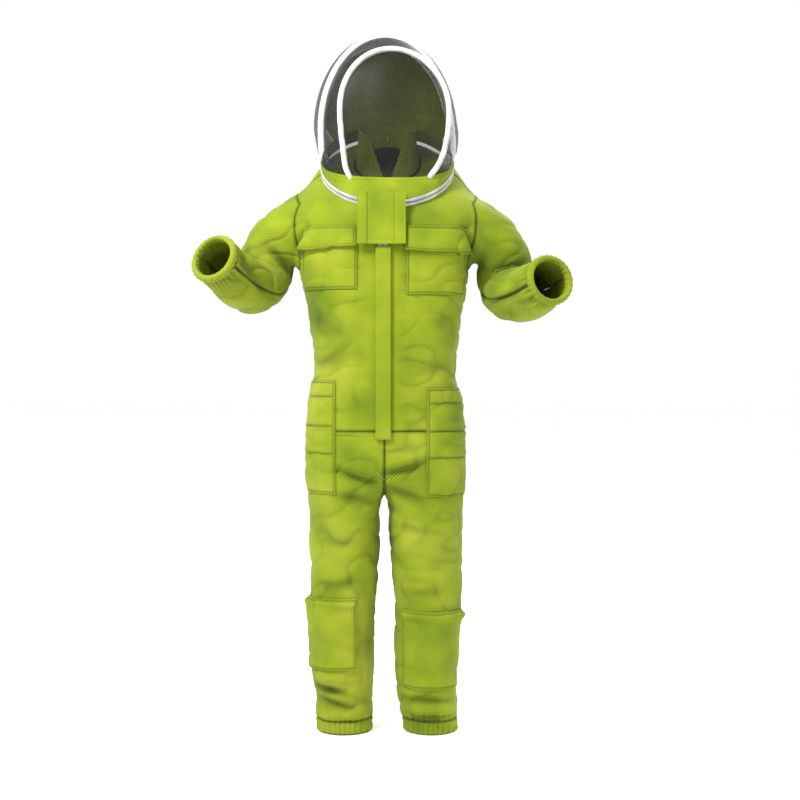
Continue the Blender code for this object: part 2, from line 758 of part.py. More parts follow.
def dome_piece(name, front, back, thickness, parts, parent, material):
    """The part of the dome between two upright planes across the head."""
    bm = dome_surface()
    for y, outwards in ((front, (0, -1, 0)), (back, (0, 1, 0))):
        whole = bm.verts[:] + bm.edges[:] + bm.faces[:]
        bmesh.ops.bisect_plane(bm, geom=whole, plane_co=(0, y, 0), plane_no=outwards, clear_outer=True)
    loose = [vert for vert in bm.verts if not vert.link_faces]
    bmesh.ops.delete(bm, geom=loose, context="VERTS")
    for vert in bm.verts:
        vert.co = hood_turned(vert.co)
    mesh = bpy.data.meshes.new(name)
    bm.to_mesh(mesh)
    bm.free()
    obj = object_of(name, mesh, parts, parent, material)
    thicken(obj, thickness, -1.0)
    return obj


def flap_point(x, height, depth=0.0):
    """A point of the neck flap's inner face, or one this far outside it."""
    low, high = NECK_FLAP_SPAN[2:]
    share = (height - low) / (high - low)
    return Vector((x, NECK_FLAP_FOOT_Y + share * (NECK_FLAP_TOP_Y - NECK_FLAP_FOOT_Y) - depth, height))


def flap_sheet(name, span, depth, thickness, parts, parent, material):
    left, right, low, high = span
    rows = [[flap_point(x, height, depth) for x in (left, right)] for height in (low, high)]
    return sheet(name, rows, thickness, parts, parent, material, offset=1.0)


def neck_flap(parts, hood, green, white):
    left, right, _, high = NECK_FLAP_SPAN
    axis = flap_point((left + right) / 2, high, NECK_FLAP_THICK + GAP)
    flap = pivot("neck_flap_pivot", parts, axis, hood)
    flap_sheet("neck_flap", NECK_FLAP_SPAN, 0.0, NECK_FLAP_THICK, parts, flap, green)
    for name, (near, far) in HOOK_TAPES.items():
        ends = (near, far) if name == "left" else (-far, -near)
        span = (*ends, *HOOK_TAPE_RISE)
        depth = -HOOK_TAPE_THICK - GAP
        flap_sheet(f"neck_flap_hook_tape_{name}", span, depth, HOOK_TAPE_THICK, parts, flap, white)


def chest_flap(name, garment, side, parts, root, material):
    """The flap over a chest pocket, swinging about a line that touches its outermost point."""
    obj = patch(
        f"chest_flap_{name}", garment, CHEST_FLAPS[name], side, FLAP_LIFT, FLAP_THICK, parts, root, material
    )
    top = [vert.co for vert in obj.data.vertices if vert.co.z > CHEST_FLAPS[name][3] - 0.002]
    near = min(top, key=lambda point: side * point.x)
    far = max(top, key=lambda point: side * point.x)
    along = Vector((far.x - near.x, far.y - near.y, 0)).normalized()
    outwards = side * along.cross(Vector((0, 0, 1)))
    reach = max(point.dot(outwards) for point in top) + FLAP_THICK + 2 * GAP
    middle = (near + far) / 2
    middle += (reach - middle.dot(outwards)) * outwards
    middle.z = CHEST_FLAPS[name][3]
    hang(obj, pivot(f"chest_flap_pivot_{name}", parts, middle, root))


def front_zip(parts, root, white, steel):
    low, high = FRONT_ZIP_SPAN
    x = FRONT_ZIP_X
    split = TEETH_HALF * 0.1
    for side, name in ((1, "left"), (-1, "right")):
        ends = sorted((x + side * split, x + side * TAPE_HALF))
        corners = ((ends[0], TAPE_DEPTHS[0], low), (ends[1], TAPE_DEPTHS[1], high))
        box(f"front_zip_tape_{name}", *corners, parts, root, white)
    teeth = ((x - TEETH_HALF, TEETH_DEPTHS[0], low), (x + TEETH_HALF, TEETH_DEPTHS[1], high))
    box("front_zip_teeth", *teeth, parts, root, white)
    slider = pivot("front_slider", parts, (x, SLIDER_DEPTHS[1], SLIDER_SPAN[1]), root)
    body = (
        (x - SLIDER_HALF, SLIDER_DEPTHS[0], SLIDER_SPAN[0]),
        (x + SLIDER_HALF, SLIDER_DEPTHS[1], SLIDER_SPAN[1]),
    )
    box("front_zip_slider", *body, parts, slider, steel, bevel=0.0006)
    pull = pivot("front_puller", parts, (x, PULLER_DEPTHS[1], PULLER_SPAN[1]), slider)
    tab = (
        (x - PULLER_HALF, PULLER_DEPTHS[0], PULLER_SPAN[0]),
        (x + PULLER_HALF, PULLER_DEPTHS[1], PULLER_SPAN[1]),
    )
    box("front_zip_puller", *tab, parts, pull, steel)


def placket(parts, root, helpers, material):
    """The fly over the front zip: a strip with a tunnel for the slider, open at the top."""
    low, high = PLACKET
    strip = box("placket", low, high, parts, root, material)
    corner = (FRONT_ZIP_X - TUNNEL_HALF, TUNNEL_ROOF, TUNNEL_FOOT)
    opposite = (FRONT_ZIP_X + TUNNEL_HALF, high[1] + 0.01, high[2] + 0.01)
    tunnel = box("placket_tunnel", corner, opposite, helpers, root, material)
    tunnel.hide_render = True
    tunnel.display_type = "WIRE"
    cut = strip.modifiers.new("tunnel", "BOOLEAN")
    cut.operation = "DIFFERENCE"
    cut.solver = "EXACT"
    cut.object = tunnel


def neck_slider(name, side, parts, root, steel):
    """A slider on the neck zip and its pull tab, which hangs straight down at the front."""
    orbit = pivot(f"neck_slider_{name}", parts, ZIP_CENTRE, root)
    turn = side * NECK_SLIDER_TURN
    place = on_zip(ZIP_RADIUS, 0.0, turn)
    outwards = (place - ZIP_CENTRE).normalized()
    across = outwards.cross(ZIP_UP)
    frame = Matrix.Translation(place) @ Matrix((across, outwards, ZIP_UP)).transposed().to_4x4()
    box(f"neck_zip_slider_{name}", *NECK_SLIDER, parts, orbit, steel, bevel=0.0006, frame=frame)
    top = place + NECK_PULLER_REACH * outwards
    tab = pivot(f"neck_puller_{name}", parts, top, orbit)
    half, thick, length = NECK_PULLER
    low = (top.x - half, top.y - thick, top.z - length)
    high = (top.x + half, top.y, top.z)
    box(f"neck_zip_puller_{name}", low, high, parts, tab, steel)


def main():
    clear_scene()
    parts = collection("beekeeping_suit")
    helpers = collection("cutters")
    green = finish("spacer fabric, lime green", GREEN, 0.85)
    net = finish("veil net, black", NET_BLACK, 0.6)
    white = finish("binding and zip, white", WHITE, 0.55)
    steel = finish("zip slider, plated", STEEL, 0.3, 1.0)
    root = pivot("suit", parts, (0, 0, 0))

    garment = build_garment()
    normals = garment.normals()
    for name in sorted(set(garment.panels)):
        panel(name, garment, normals, parts, root, green)
    for side, name, line in ((1, "left", SLEEVE_LEFT), (-1, "right", SLEEVE_RIGHT)):
        cuff(f"cuff_{name}", side, line, parts, root, green)
        collar_half(f"stand_collar_{name}", side, parts, root, green)
        for kind, spans, thickness in (
            ("chest_pocket", CHEST_POCKETS, PATCH_THICK),
            ("hip_pocket", HIP_POCKETS, PATCH_THICK),
            ("knee_patch", KNEE_PATCHES, KNEE_THICK),
        ):
            patch(f"{kind}_{name}", garment, spans[name], side, PATCH_LIFT, thickness, parts, root, green)
    zip_ring("neck_zip_tape_lower", -0.0100, -0.0022, 0.1652, 0.1664, parts, root, white)
    zip_ring("neck_zip_teeth_lower", -0.0019, -0.0002, 0.1645, 0.1670, parts, root, white)

    hinge = ZIP_CENTRE + (ZIP_RADIUS + 0.008) * ZIP_BACK
    hood = pivot("hood", parts, hinge, root)
    zip_ring("neck_zip_tape_upper", 0.0022, 0.0100, 0.1652, 0.1664, parts, hood, white)
    zip_ring("neck_zip_teeth_upper", 0.0002, 0.0019, 0.1645, 0.1670, parts, hood, white)
    hood_band(parts, hood, green)
    hoop("hoop_front", front_hoop_point, parts, hood, white)
    hoop("hoop_rear", rear_hoop_point, parts, hood, white)
    face_veil(parts, hood, net)
    crown_veil(parts, hood, net)
    strip = REAR_HOOP_Y + HOOP_BAR + 0.005
    dome_piece("veil_rear_net", strip, strip + REAR_STRIP, VEIL, parts, hood, net)
    dome_piece("hood_back_panel", strip + REAR_STRIP + 5 * GAP, 0.3, HOOD_CLOTH, parts, hood, green)
    neck_flap(parts, hood, green, white)

    front_zip(parts, root, white, steel)
    placket(parts, root, helpers, green)
    for side, name in ((1, "left"), (-1, "right")):
        chest_flap(name, garment, side, parts, root, green)
        neck_slider(name, side, parts, root, steel)
        near, far = HOOK_TAPES[name]
        span = (near, far, *HOOK_TAPE_RISE)
        patch(f"chest_loop_tape_{name}", garment, span, side, PATCH_LIFT, HOOK_TAPE_THICK, parts, root, white)
    root.location.z = -SHOULDER_HEIGHT


main()
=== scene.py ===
"""A beekeeper's suit of lime green spacer fabric with a hooped veil hood, laid out as an add-on.

Lengths are in metres. The shape functions give heights over the floor under the wearer; a finished
piece is lowered by SHOULDER_HEIGHT, because the suit's own origin lies between its shoulders.
"""

import json
import math

import bmesh
import bpy
import numpy as np
from bpy.props import FloatProperty, PointerProperty, StringProperty
from mathutils import Matrix, Vector, noise
from mathutils.bvhtree import BVHTree
from mathutils.kdtree import KDTree

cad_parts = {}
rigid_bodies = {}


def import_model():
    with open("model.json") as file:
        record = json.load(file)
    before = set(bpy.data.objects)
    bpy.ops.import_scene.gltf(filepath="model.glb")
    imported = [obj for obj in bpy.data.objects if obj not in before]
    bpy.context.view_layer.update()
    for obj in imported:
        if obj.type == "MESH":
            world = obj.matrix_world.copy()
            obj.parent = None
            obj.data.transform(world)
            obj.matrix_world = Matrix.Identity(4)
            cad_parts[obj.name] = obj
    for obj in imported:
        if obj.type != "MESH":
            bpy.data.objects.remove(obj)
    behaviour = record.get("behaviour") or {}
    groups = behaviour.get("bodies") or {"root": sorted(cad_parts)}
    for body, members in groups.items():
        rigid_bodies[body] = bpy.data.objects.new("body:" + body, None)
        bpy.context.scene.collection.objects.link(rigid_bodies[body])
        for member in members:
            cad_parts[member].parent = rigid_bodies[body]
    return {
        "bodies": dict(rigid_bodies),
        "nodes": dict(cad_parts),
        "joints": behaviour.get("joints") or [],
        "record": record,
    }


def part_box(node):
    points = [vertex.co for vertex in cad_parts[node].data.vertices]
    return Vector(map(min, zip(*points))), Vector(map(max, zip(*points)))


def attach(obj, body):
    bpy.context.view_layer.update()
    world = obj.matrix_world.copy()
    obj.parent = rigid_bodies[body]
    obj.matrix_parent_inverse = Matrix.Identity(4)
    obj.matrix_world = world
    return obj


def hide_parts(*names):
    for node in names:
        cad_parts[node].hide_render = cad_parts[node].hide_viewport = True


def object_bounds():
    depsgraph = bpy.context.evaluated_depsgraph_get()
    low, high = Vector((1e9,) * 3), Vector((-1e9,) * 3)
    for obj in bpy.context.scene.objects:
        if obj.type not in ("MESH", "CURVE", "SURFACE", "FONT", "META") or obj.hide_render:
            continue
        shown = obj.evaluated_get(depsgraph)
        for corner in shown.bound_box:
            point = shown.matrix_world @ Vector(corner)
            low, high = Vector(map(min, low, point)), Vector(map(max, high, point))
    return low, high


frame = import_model()
CAD_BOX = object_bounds()

bl_info = {
    "name": "Beekeeping Suit",
    "version": (1, 0, 0),
    "blender": (4, 5, 0),
    "location": "View3D > Sidebar > Bee Suit",
    "description": "Models a ventilated beekeeping coverall with a zip-on hooped veil hood",
    "category": "Add Mesh",
}

SHOULDER_HEIGHT = 1.42
ROOT = "coverall"

# ---- driving shape, the same as the frame's -------------------------------------------------------
TORSO_COLUMNS = 20
WAIST_SEAM = 0.8225
ARMPIT = 1.235
TORSO_RINGS = (
    (0.715, 0.196, 0.128, 0.140, 0.80),
    (0.770, 0.197, 0.134, 0.145, 0.78),
    (WAIST_SEAM, 0.195, 0.136, 0.144, 0.75),
    (0.900, 0.187, 0.136, 0.139, 0.74),
    (0.975, 0.173, 0.136, 0.134, 0.72),
    (1.060, 0.181, 0.136, 0.135, 0.70),
    (1.150, 0.198, 0.136, 0.138, 0.66),
    (ARMPIT, 0.207, 0.136, 0.141, 0.62),
)
SHOULDER_RINGS = (
    (0.19, 0.213, 0.136, 0.145, 0.62),
    (0.38, 0.216, 0.136, 0.148, 0.62),
    (0.57, 0.214, 0.135, 0.148, 0.65),
    (0.755, 0.205, 0.133, 0.145, 0.72),
    (0.90, 0.186, 0.128, 0.137, 0.85),
)
ARMHOLE_ROWS = 4
YOKE_RINGS = ((0.160, -0.012), (0.122, -0.004), (0.085, 0.008))
CROTCH = ((-0.070, 0.690), (0.0, 0.675), (0.075, 0.690))
ZIP_CENTRE = Vector((0.006, 0.0, 1.480))
ZIP_RADIUS = 0.165
ZIP_TILT = math.radians(40)
ZIP_UP = Vector((0.0, -math.sin(ZIP_TILT), math.cos(ZIP_TILT)))
ZIP_BACK = Vector((0.0, math.cos(ZIP_TILT), math.sin(ZIP_TILT)))
LEG_SIDES = 14
LEGS = {
    "left": (
        (0.620, 0.010, 0.196, 0.118, 0.128),
        (0.520, 0.009, 0.196, 0.108, 0.115),
        (0.420, 0.027, 0.190, 0.102, 0.102),
        (0.320, 0.023, 0.184, 0.096, 0.096),
        (0.220, 0.023, 0.177, 0.086, 0.086),
        (0.150, 0.030, 0.178, 0.079, 0.080),
        (0.106, 0.046, 0.182, 0.073, 0.074),
        (0.078, 0.046, 0.182, 0.073, 0.074),
    ),
    "right": (
        (0.620, 0.018, 0.189, 0.118, 0.128),
        (0.520, 0.009, 0.186, 0.108, 0.115),
        (0.420, 0.025, 0.191, 0.102, 0.102),
        (0.320, 0.026, 0.192, 0.096, 0.096),
        (0.220, 0.031, 0.180, 0.086, 0.086),
        (0.150, 0.034, 0.175, 0.079, 0.080),
        (0.106, 0.033, 0.171, 0.073, 0.074),
        (0.078, 0.033, 0.171, 0.073, 0.074),
    ),
}
SLEEVE_SIDES = 12
SLEEVE_SHARES = (0.0, 0.20, 0.38, 0.51, 0.64, 0.76, 0.88, 1.0)
SLEEVES = {
    "left": (
        (0.216, 0.000, 1.330, 0.076),
        (0.290, 0.006, 1.284, 0.076),
        (0.303, 0.014, 1.180, 0.073),
        (0.334, -0.100, 1.158, 0.068),
        (0.384, -0.205, 1.183, 0.057),
    ),
    "right": (
        (0.216, 0.000, 1.330, 0.076),
        (0.293, 0.006, 1.287, 0.075),
        (0.308, 0.014, 1.190, 0.073),
        (0.346, -0.095, 1.186, 0.068),
        (0.395, -0.188, 1.232, 0.057),
    ),
}
SIDES = {"left": 1, "right": -1}
CUFF_LENGTH = 0.022
COLLAR = {"foot": 0.078, "top": 0.072, "height": 0.088, "split": (math.radians(5), math.radians(42))}
HOOD_TURN = math.radians(9)
TURN_FROM = 0.012
TURN_DONE = 0.090
FRONT_HOOP = {"middle": 1.600, "up": 0.155, "down": 0.250, "half": 0.134, "foot": 1.456}
REAR_HOOP = {"middle": 1.570, "up": 0.238, "down": 0.330, "half": 0.163, "foot": 1.524}
REAR_HOOP_Y = 0.018
DOME_DEPTH = 0.132
DOME_HALF = 0.169
DOME_LIFT = 0.075
STRIP = (0.0255, 0.0645)  # depths between which the black net behind the rear hoop runs
VEIL_BULGE = 0.020
NET_PITCH = 0.0042
NET_SWELL = 0.013  # how far the rear net stands out past the rear hoop
FACING_FROM = 0.9  # turn from the front centre where the strip behind the neck zip begins
FACING = (0.1600, 0.0080, 0.034, 0.0014)  # radius, rise along the zip's axis, width and thickness
BAND_HEIGHT = 0.056
BAND_ENDS = 0.010
FRONT_ZIP_X = -0.0025
NECK_FLAP_SPAN = (-0.066, 0.051, 1.277, 1.402)
NECK_FLAP_TOP_Y = -0.1370
NECK_FLAP_FOOT_Y = -0.1530
HOOK_TAPES = {"left": (0.020, 0.047), "right": (0.026, 0.062)}
HOOK_RISE = (1.281, 1.299)
CHEST_POCKETS = {"left": (0.052, 0.196, 1.155, 1.300), "right": (0.064, 0.198, 1.168, 1.300)}
CHEST_FLAPS = {"left": (0.048, 0.199, 1.262, 1.322), "right": (0.066, 0.201, 1.270, 1.322)}
HIP_POCKETS = {"left": (0.101, 0.665, 0.932), "right": (0.117, 0.672, 0.950)}
KNEE_PATCHES = {"left": (0.046, 0.192, 0.388), "right": (0.070, 0.240, 0.420)}

# ---- finish of the cloth --------------------------------------------------------------------------
SUBDIVISIONS = 4  # of the cage: quads of about 3 mm
SEAM_GAP = 0.0004
SEAM_GROOVE = (0.0016, 0.0035)  # depth and half width
WAVE = (0.0046, 9.0)  # height of the soft waviness over the whole suit, and waves to the metre

SEWN_LIFT = 0.0008  # of a patch's underside over the cloth that it is sewn to
FLAP_LIFT = 0.0056  # of a chest flap, which lies over its pocket
POCKET_CLOTH, FLAP_CLOTH, HIP_CLOTH, KNEE_PAD = 0.0032, 0.0028, 0.0036, 0.0050
PAST_SIDE_SEAM = 0.3  # a patch's far edge, wide enough to end at the side seam
KNEE_MIDDLE = 0.105  # of a leg, from the suit's middle
NET_CLOTH, HOOD_CLOTH = 0.0008, 0.0028

# ---- stage ----------------------------------------------------------------------------------------
FLOOR_REACH, FLOOR_GAP = 40, 0.004  # from the middle, and under the hems
CAMERA_PLACE = (0.0375, -3.6, -0.45)
CAMERA_AIM = (0.0375, 0.0, -0.52)
LAMPS = (  # name, place, what it aims at, side of its square in metres, watts
    ("key", (-1.1, -1.5, 1.5), (0.0, 0.0, 0.0), 0.7, 100),
    ("fill", (2.8, -2.8, 0.4), (0.0, 0.0, -0.5), 2.2, 15),
    ("rim", (1.4, 2.4, 1.8), (0.0, 0.0, 0.0), 1.2, 90),
)

# Folds seen from the front: ends as x and height, half width, height over the cloth (less than 0: a crease).
FOLDS = (
    (-0.118, 0.730, -0.022, 0.700, 0.011, -0.0070),
    (-0.110, 0.752, -0.030, 0.722, 0.013, 0.0050),
    (0.000, 0.722, 0.100, 0.748, 0.011, -0.0070),
    (0.010, 0.742, 0.090, 0.768, 0.013, 0.0045),
    (-0.115, 0.668, -0.035, 0.655, 0.012, -0.0070),
    (0.008, 0.682, 0.090, 0.658, 0.012, -0.0070),
    (0.030, 0.590, 0.150, 0.575, 0.012, -0.0045),
    (-0.150, 0.560, -0.050, 0.545, 0.014, -0.0035),
    (-0.190, 0.222, -0.070, 0.212, 0.011, 0.0060),
    (-0.185, 0.188, -0.100, 0.186, 0.009, -0.0085),
    (-0.172, 0.163, -0.080, 0.142, 0.009, -0.0070),
    (-0.165, 0.120, -0.050, 0.128, 0.010, 0.0040),
    (0.045, 0.162, 0.170, 0.158, 0.010, -0.0070),
    (0.050, 0.138, 0.180, 0.132, 0.009, 0.0050),
    (0.070, 0.118, 0.180, 0.124, 0.008, -0.0050),
    (-0.160, 0.445, -0.060, 0.455, 0.012, -0.0040),
    (0.050, 0.425, 0.150, 0.430, 0.012, -0.0040),
    (-0.165, 0.990, -0.060, 1.010, 0.016, -0.0030),
    (0.070, 0.960, 0.160, 0.985, 0.016, -0.0030),
    (-0.190, 1.120, -0.120, 1.060, 0.018, -0.0035),
    (0.120, 1.070, 0.185, 1.130, 0.018, -0.0035),
    (-0.222, 1.250, -0.175, 1.345, 0.012, -0.0050),
    (0.180, 1.350, 0.222, 1.240, 0.012, -0.0050),
    (-0.200, 1.405, -0.110, 1.375, 0.014, 0.0035),
    (0.120, 1.375, 0.205, 1.405, 0.014, 0.0035),
    (-0.345, 1.265, -0.282, 1.155, 0.010, -0.0070),
    (-0.290, 1.278, -0.224, 1.208, 0.011, -0.0060),
    (0.372, 1.262, 0.275, 1.195, 0.010, -0.0060),
    (0.330, 1.170, 0.260, 1.130, 0.011, -0.0055),
    (0.320, 1.210, 0.240, 1.175, 0.011, 0.0050),
)


def settings():
    return bpy.context.scene.bee_suit


def linear(code):
    """A hex sRGB colour as Blender's linear one."""
    parts = [int(code[i : i + 2], 16) / 255 for i in (1, 3, 5)]
    return (*[c / 12.92 if c <= 0.04045 else ((c + 0.055) / 1.055) ** 2.4 for c in parts], 1.0)


def smooth(low, high, value):
    share = np.clip((value - low) / (high - low), 0.0, 1.0)
    return share * share * (3 - 2 * share)


MATHS, RAMP = "ShaderNodeMath", "ShaderNodeValToRGB"
NOISE, BUMP = "ShaderNodeTexNoise", "ShaderNodeBump"

# ---- materials ------------------------------------------------------------------------------------


def add(material, kind, inputs=(), links=(), stops=(), **values):
    """Adds a node with its settings, input values, links from (node, output) and ramp stops."""
    node = material.node_tree.nodes.new(kind)
    for name, value in values.items():
        setattr(node, name, value)
    for name, value in dict(inputs).items():
        node.inputs[name].default_value = value
    for name, (source, output) in dict(links).items():
        material.node_tree.links.new(source.outputs[output], node.inputs[name])
    for _ in stops[2:]:
        node.color_ramp.elements.new(0.5)
    for element, (place, colour) in zip(node.color_ramp.elements if stops else (), stops):
        element.position, element.color = place, colour
    return node


def new_material(name, roughness, specular=0.5, metallic=0.0):
    material = bpy.data.materials.new(name)
    material.use_nodes = True
    shader = material.node_tree.nodes["Principled BSDF"]
    shader.inputs["Roughness"].default_value = roughness
    shader.inputs["Specular IOR Level"].default_value = specular
    shader.inputs["Metallic"].default_value = metallic
    return material, shader


def join(material, source, output, shader, name):
    material.node_tree.links.new(source.outputs[output], shader.inputs[name])


def cells(material, uv, pitch, slope=1.0):
    """A diamond lattice on the cloth's own coordinates in metres, 0 in the holes and 1 on the yarn."""
    apart = add(material, "ShaderNodeSeparateXYZ", links={"Vector": (uv, "UV")})
    turns = math.pi / pitch
    across = add(material, MATHS, {1: turns}, {0: (apart, "X")}, operation="MULTIPLY")
    along = add(material, MATHS, {1: turns * slope}, {0: (apart, "Y")}, operation="MULTIPLY")
    waves = []
    for way in ("ADD", "SUBTRACT"):
        slanted = add(material, MATHS, links={0: (across, 0), 1: (along, 0)}, operation=way)
        waves.append(add(material, MATHS, links={0: (slanted, 0)}, operation="SINE"))
    crossed = add(material, MATHS, links={0: (waves[0], 0), 1: (waves[1], 0)}, operation="MULTIPLY")
    return add(material, MATHS, links={0: (crossed, 0)}, operation="ABSOLUTE"), 0


def spacer_fabric():
    """Three-layer polyester spacer mesh, warp-knitted: thick, matt and soft, its rows of small holes
    darkening the green. Such mesh usually has holes 2 to 3 mm apart, too fine to show, so they are
    drawn coarser."""
    picked = settings()
    material, shader = new_material("spacer_mesh_lime", 0.82, 0.25)
    uv = add(material, "ShaderNodeUVMap", uv_map="cloth")
    black, white = (0, 0, 0, 1), (1, 1, 1, 1)
    lattice = cells(material, uv, picked.mesh_pitch)
    holes = add(material, RAMP, links={"Fac": lattice}, stops=((0.04, black), (0.42, white)))
    place = {"Vector": (add(material, "ShaderNodeTexCoord"), "Object")}
    wide = add(material, NOISE, {"Scale": 7.0, "Detail": 3.0}, place)
    greens = (0.30, picked.green_shade), (0.52, picked.green), (0.74, picked.green_light)
    stops = [(at, linear(code)) for at, code in greens]
    tone = add(material, RAMP, links={"Fac": (wide, "Fac")}, stops=stops)
    fuzz = add(material, NOISE, {"Scale": 420.0, "Detail": 2.0}, place)
    gaps = add(material, MATHS, {0: 1.0}, {1: (holes, "Color")}, operation="SUBTRACT")
    faint = add(material, MATHS, {1: 0.42}, {0: (gaps, 0)}, operation="MULTIPLY")
    # painted shade: the 'shade' attribute darkens the green towards the hole colour in seams, creases and patch
    # rims, on top of the holes' own darker colour
    sewn = add(material, "ShaderNodeAttribute", attribute_name="shade")
    links = {0: (faint, 0), 1: (sewn, "Fac")}
    holes_and_painted_shade = add(material, MATHS, links=links, operation="ADD", use_clamp=True)
    mixed = {"Factor": (holes_and_painted_shade, 0), "A": (tone, "Color")}
    deep = {"B": linear(picked.green_holes_and_painted_shade)}
    dark = add(material, "ShaderNodeMix", deep, mixed, data_type="RGBA", blend_type="MIX")
    join(material, dark, "Result", shader, "Base Color")
    soft = add(material, MATHS, {1: 0.5}, {0: (fuzz, "Fac")}, operation="MULTIPLY")
    height = add(material, MATHS, links={0: (holes, "Color"), 1: (soft, 0)}, operation="ADD")
    bump = add(material, BUMP, {"Strength": 0.8, "Distance": 0.0014}, {"Height": (height, 0)})
    join(material, bump, "Normal", shader, "Normal")
    shader.inputs["Sheen Weight"].default_value = 0.10
    shader.inputs["Sheen Roughness"].default_value = 0.45
    shader.inputs["Sheen Tint"].default_value = linear("#E6F2A0")
    return material


def veil_net(name, yarn_cover, hole_cover):
    """Warp-knitted black polyester veil net: it dims what lies behind it without hiding it. Its
    holes are usually near 1.5 mm, so they are drawn coarser and partly covered."""
    material, shader = new_material(name, 0.55, 0.4)
    uv = add(material, "ShaderNodeUVMap", uv_map="cloth")
    covers = [(at, (cover,) * 3 + (1,)) for at, cover in ((0.05, yarn_cover), (0.16, hole_cover))]
    yarn = add(material, RAMP, links={"Fac": cells(material, uv, NET_PITCH, 0.8)}, stops=covers)
    shader.inputs["Base Color"].default_value = linear("#070808")
    join(material, yarn, "Color", shader, "Alpha")
    return material


def binding(name, code, pitch=0.0016, roughness=0.6):
    """Woven polyester tape: fine ribs across it and a soft white that greys a little with handling."""
    material, shader = new_material(name, roughness, 0.3)
    place = {"Vector": (add(material, "ShaderNodeTexCoord"), "Object")}
    uv = add(material, "ShaderNodeUVMap", uv_map="cloth")
    apart = add(material, "ShaderNodeSeparateXYZ", links={"Vector": (uv, "UV")})
    turns = add(material, MATHS, {1: 2 * math.pi / pitch}, {0: (apart, "X")}, operation="MULTIPLY")
    ribs = add(material, MATHS, links={0: (turns, 0)}, operation="SINE")
    stain = add(material, NOISE, {"Scale": 30.0, "Detail": 4.0}, place)
    whites = (0.35, linear("#B4B9B4")), (0.65, linear(code))
    tone = add(material, RAMP, links={"Fac": (stain, "Fac")}, stops=whites)
    bump = add(material, BUMP, {"Strength": 0.35, "Distance": 0.0004}, {"Height": (ribs, 0)})
    join(material, tone, "Color", shader, "Base Color")
    join(material, bump, "Normal", shader, "Normal")
    return material


def moulded(name, code, roughness):
    """Injection-moulded acetal zip teeth: smooth and waxy, faintly mottled."""
    material, shader = new_material(name, roughness, 0.5)
    place = {"Vector": (add(material, "ShaderNodeTexCoord"), "Object")}
    grain = add(material, NOISE, {"Scale": 300.0}, place)
    whites = (0.3, linear("#8C9090")), (0.7, linear(code))
    tone = add(material, RAMP, links={"Fac": (grain, "Fac")}, stops=whites)
    join(material, tone, "Color", shader, "Base Color")
    return material


def plated_metal():
    """Nickel-plated zinc die casting: bright, with the fine marks of its tumble polish."""
    material, shader = new_material("nickel_plate", 0.28, 0.5, 1.0)
    shader.inputs["Base Color"].default_value = linear("#C9CACB")
    place = {"Vector": (add(material, "ShaderNodeTexCoord"), "Object")}
    marks = add(material, NOISE, {"Scale": 900.0, "Detail": 3.0}, place)
    rubbed = (0.3, (0.22, 0.22, 0.22, 1)), (0.7, (0.4, 0.4, 0.4, 1))
    worn = add(material, RAMP, links={"Fac": (marks, "Fac")}, stops=rubbed)
    join(material, worn, "Color", shader, "Roughness")
    return material


MATERIALS = {}


def material(name):
    makers = {
        "fabric": spacer_fabric,
        "face_net": lambda: veil_net("veil_net_face", 0.86, 0.28),
        "crown_net": lambda: veil_net("veil_net_crown", 0.94, 0.42),
        "binding": lambda: binding("hoop_binding_white", "#D6D9D6"),
        "tape": lambda: binding("zip_tape_white", "#DADCDA", 0.0012, 0.55),
        "hook_tape": lambda: binding("hook_and_loop_white", "#C4C7C4", 0.0020, 0.9),
        "teeth": lambda: moulded("zip_teeth_white", "#A9ACAC", 0.35),
        "metal": plated_metal,
    }
    if name not in MATERIALS:
        MATERIALS[name] = makers[name]()
    return MATERIALS[name]


# ---- making pieces --------------------------------------------------------------------------------


def lowered(points):
    """Points over the floor as points in the suit's own frame."""
    return np.asarray(points, float).reshape(-1, 3) - (0.0, 0.0, SHOULDER_HEIGHT)


def piece(name, points, faces, uvs, made_of, body, slot, sharp=40.0, stands_for=None, shade=None):
    """A finished piece from points in the suit's frame, faces, and a place on the cloth for each corner."""
    mesh = bpy.data.meshes.new(name)
    mesh.from_pydata([tuple(point) for point in points], [], [tuple(face) for face in faces])
    layer = mesh.uv_layers.new(name="cloth")
    layer.data.foreach_set("uv", np.asarray(uvs, np.float32).ravel())
    if shade is not None:  # painted shade: how much darker the cloth's colour is made in its seams, creases and patch rims, where shade would fall
        values = mesh.attributes.new("shade", "FLOAT", "POINT").data
        values.foreach_set("value", np.asarray(shade, np.float32))
    mesh.materials.append(material(made_of))
    mesh.shade_smooth()
    mesh.set_sharp_from_angle(angle=math.radians(sharp))
    mesh.update()
    obj = bpy.data.objects.new(name, mesh)
    bpy.context.scene.collection.objects.link(obj)
    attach(obj, body)
    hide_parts(stands_for or name.removeprefix("cloth_"))
    return obj


def grid_faces(rows, columns, start=0, closed=False):
    r, c = np.meshgrid(np.arange(rows - 1), np.arange(columns if closed else columns - 1), indexing="ij")
    n = (c + 1) % columns
    corners = (r * columns + c, r * columns + n, (r + 1) * columns + n, (r + 1) * columns + c)
    return start + np.stack(corners, -1).reshape(-1, 4)


def shell(outer, inner, faces, uv_of_points):
    """Two matching skins and the wall between their rims, as points, faces and corner places."""
    count = len(outer)
    points = np.concatenate([outer, inner])
    ends = np.stack([faces, np.roll(faces, -1, axis=1)], -1).reshape(-1, 2)
    keys = np.sort(ends, axis=1)
    _, first, uses = np.unique(keys, axis=0, return_index=True, return_counts=True)
    rim = ends[first[uses == 1]]
    walls = np.stack([rim[:, 1], rim[:, 0], rim[:, 0] + count, rim[:, 1] + count], -1)
    every = np.concatenate([faces, faces[:, ::-1] + count, walls])
    places = np.concatenate([uv_of_points, uv_of_points])[every]
    return points, every, places


def grid_normals(points):
    """Outward normals of a grid whose rows go up and whose columns run to the right, seen from outside."""
    across = np.gradient(points, axis=1)
    up = np.gradient(points, axis=0)
    normals = np.cross(across, up)
    return normals / np.maximum(np.linalg.norm(normals, axis=2, keepdims=True), 1e-9)


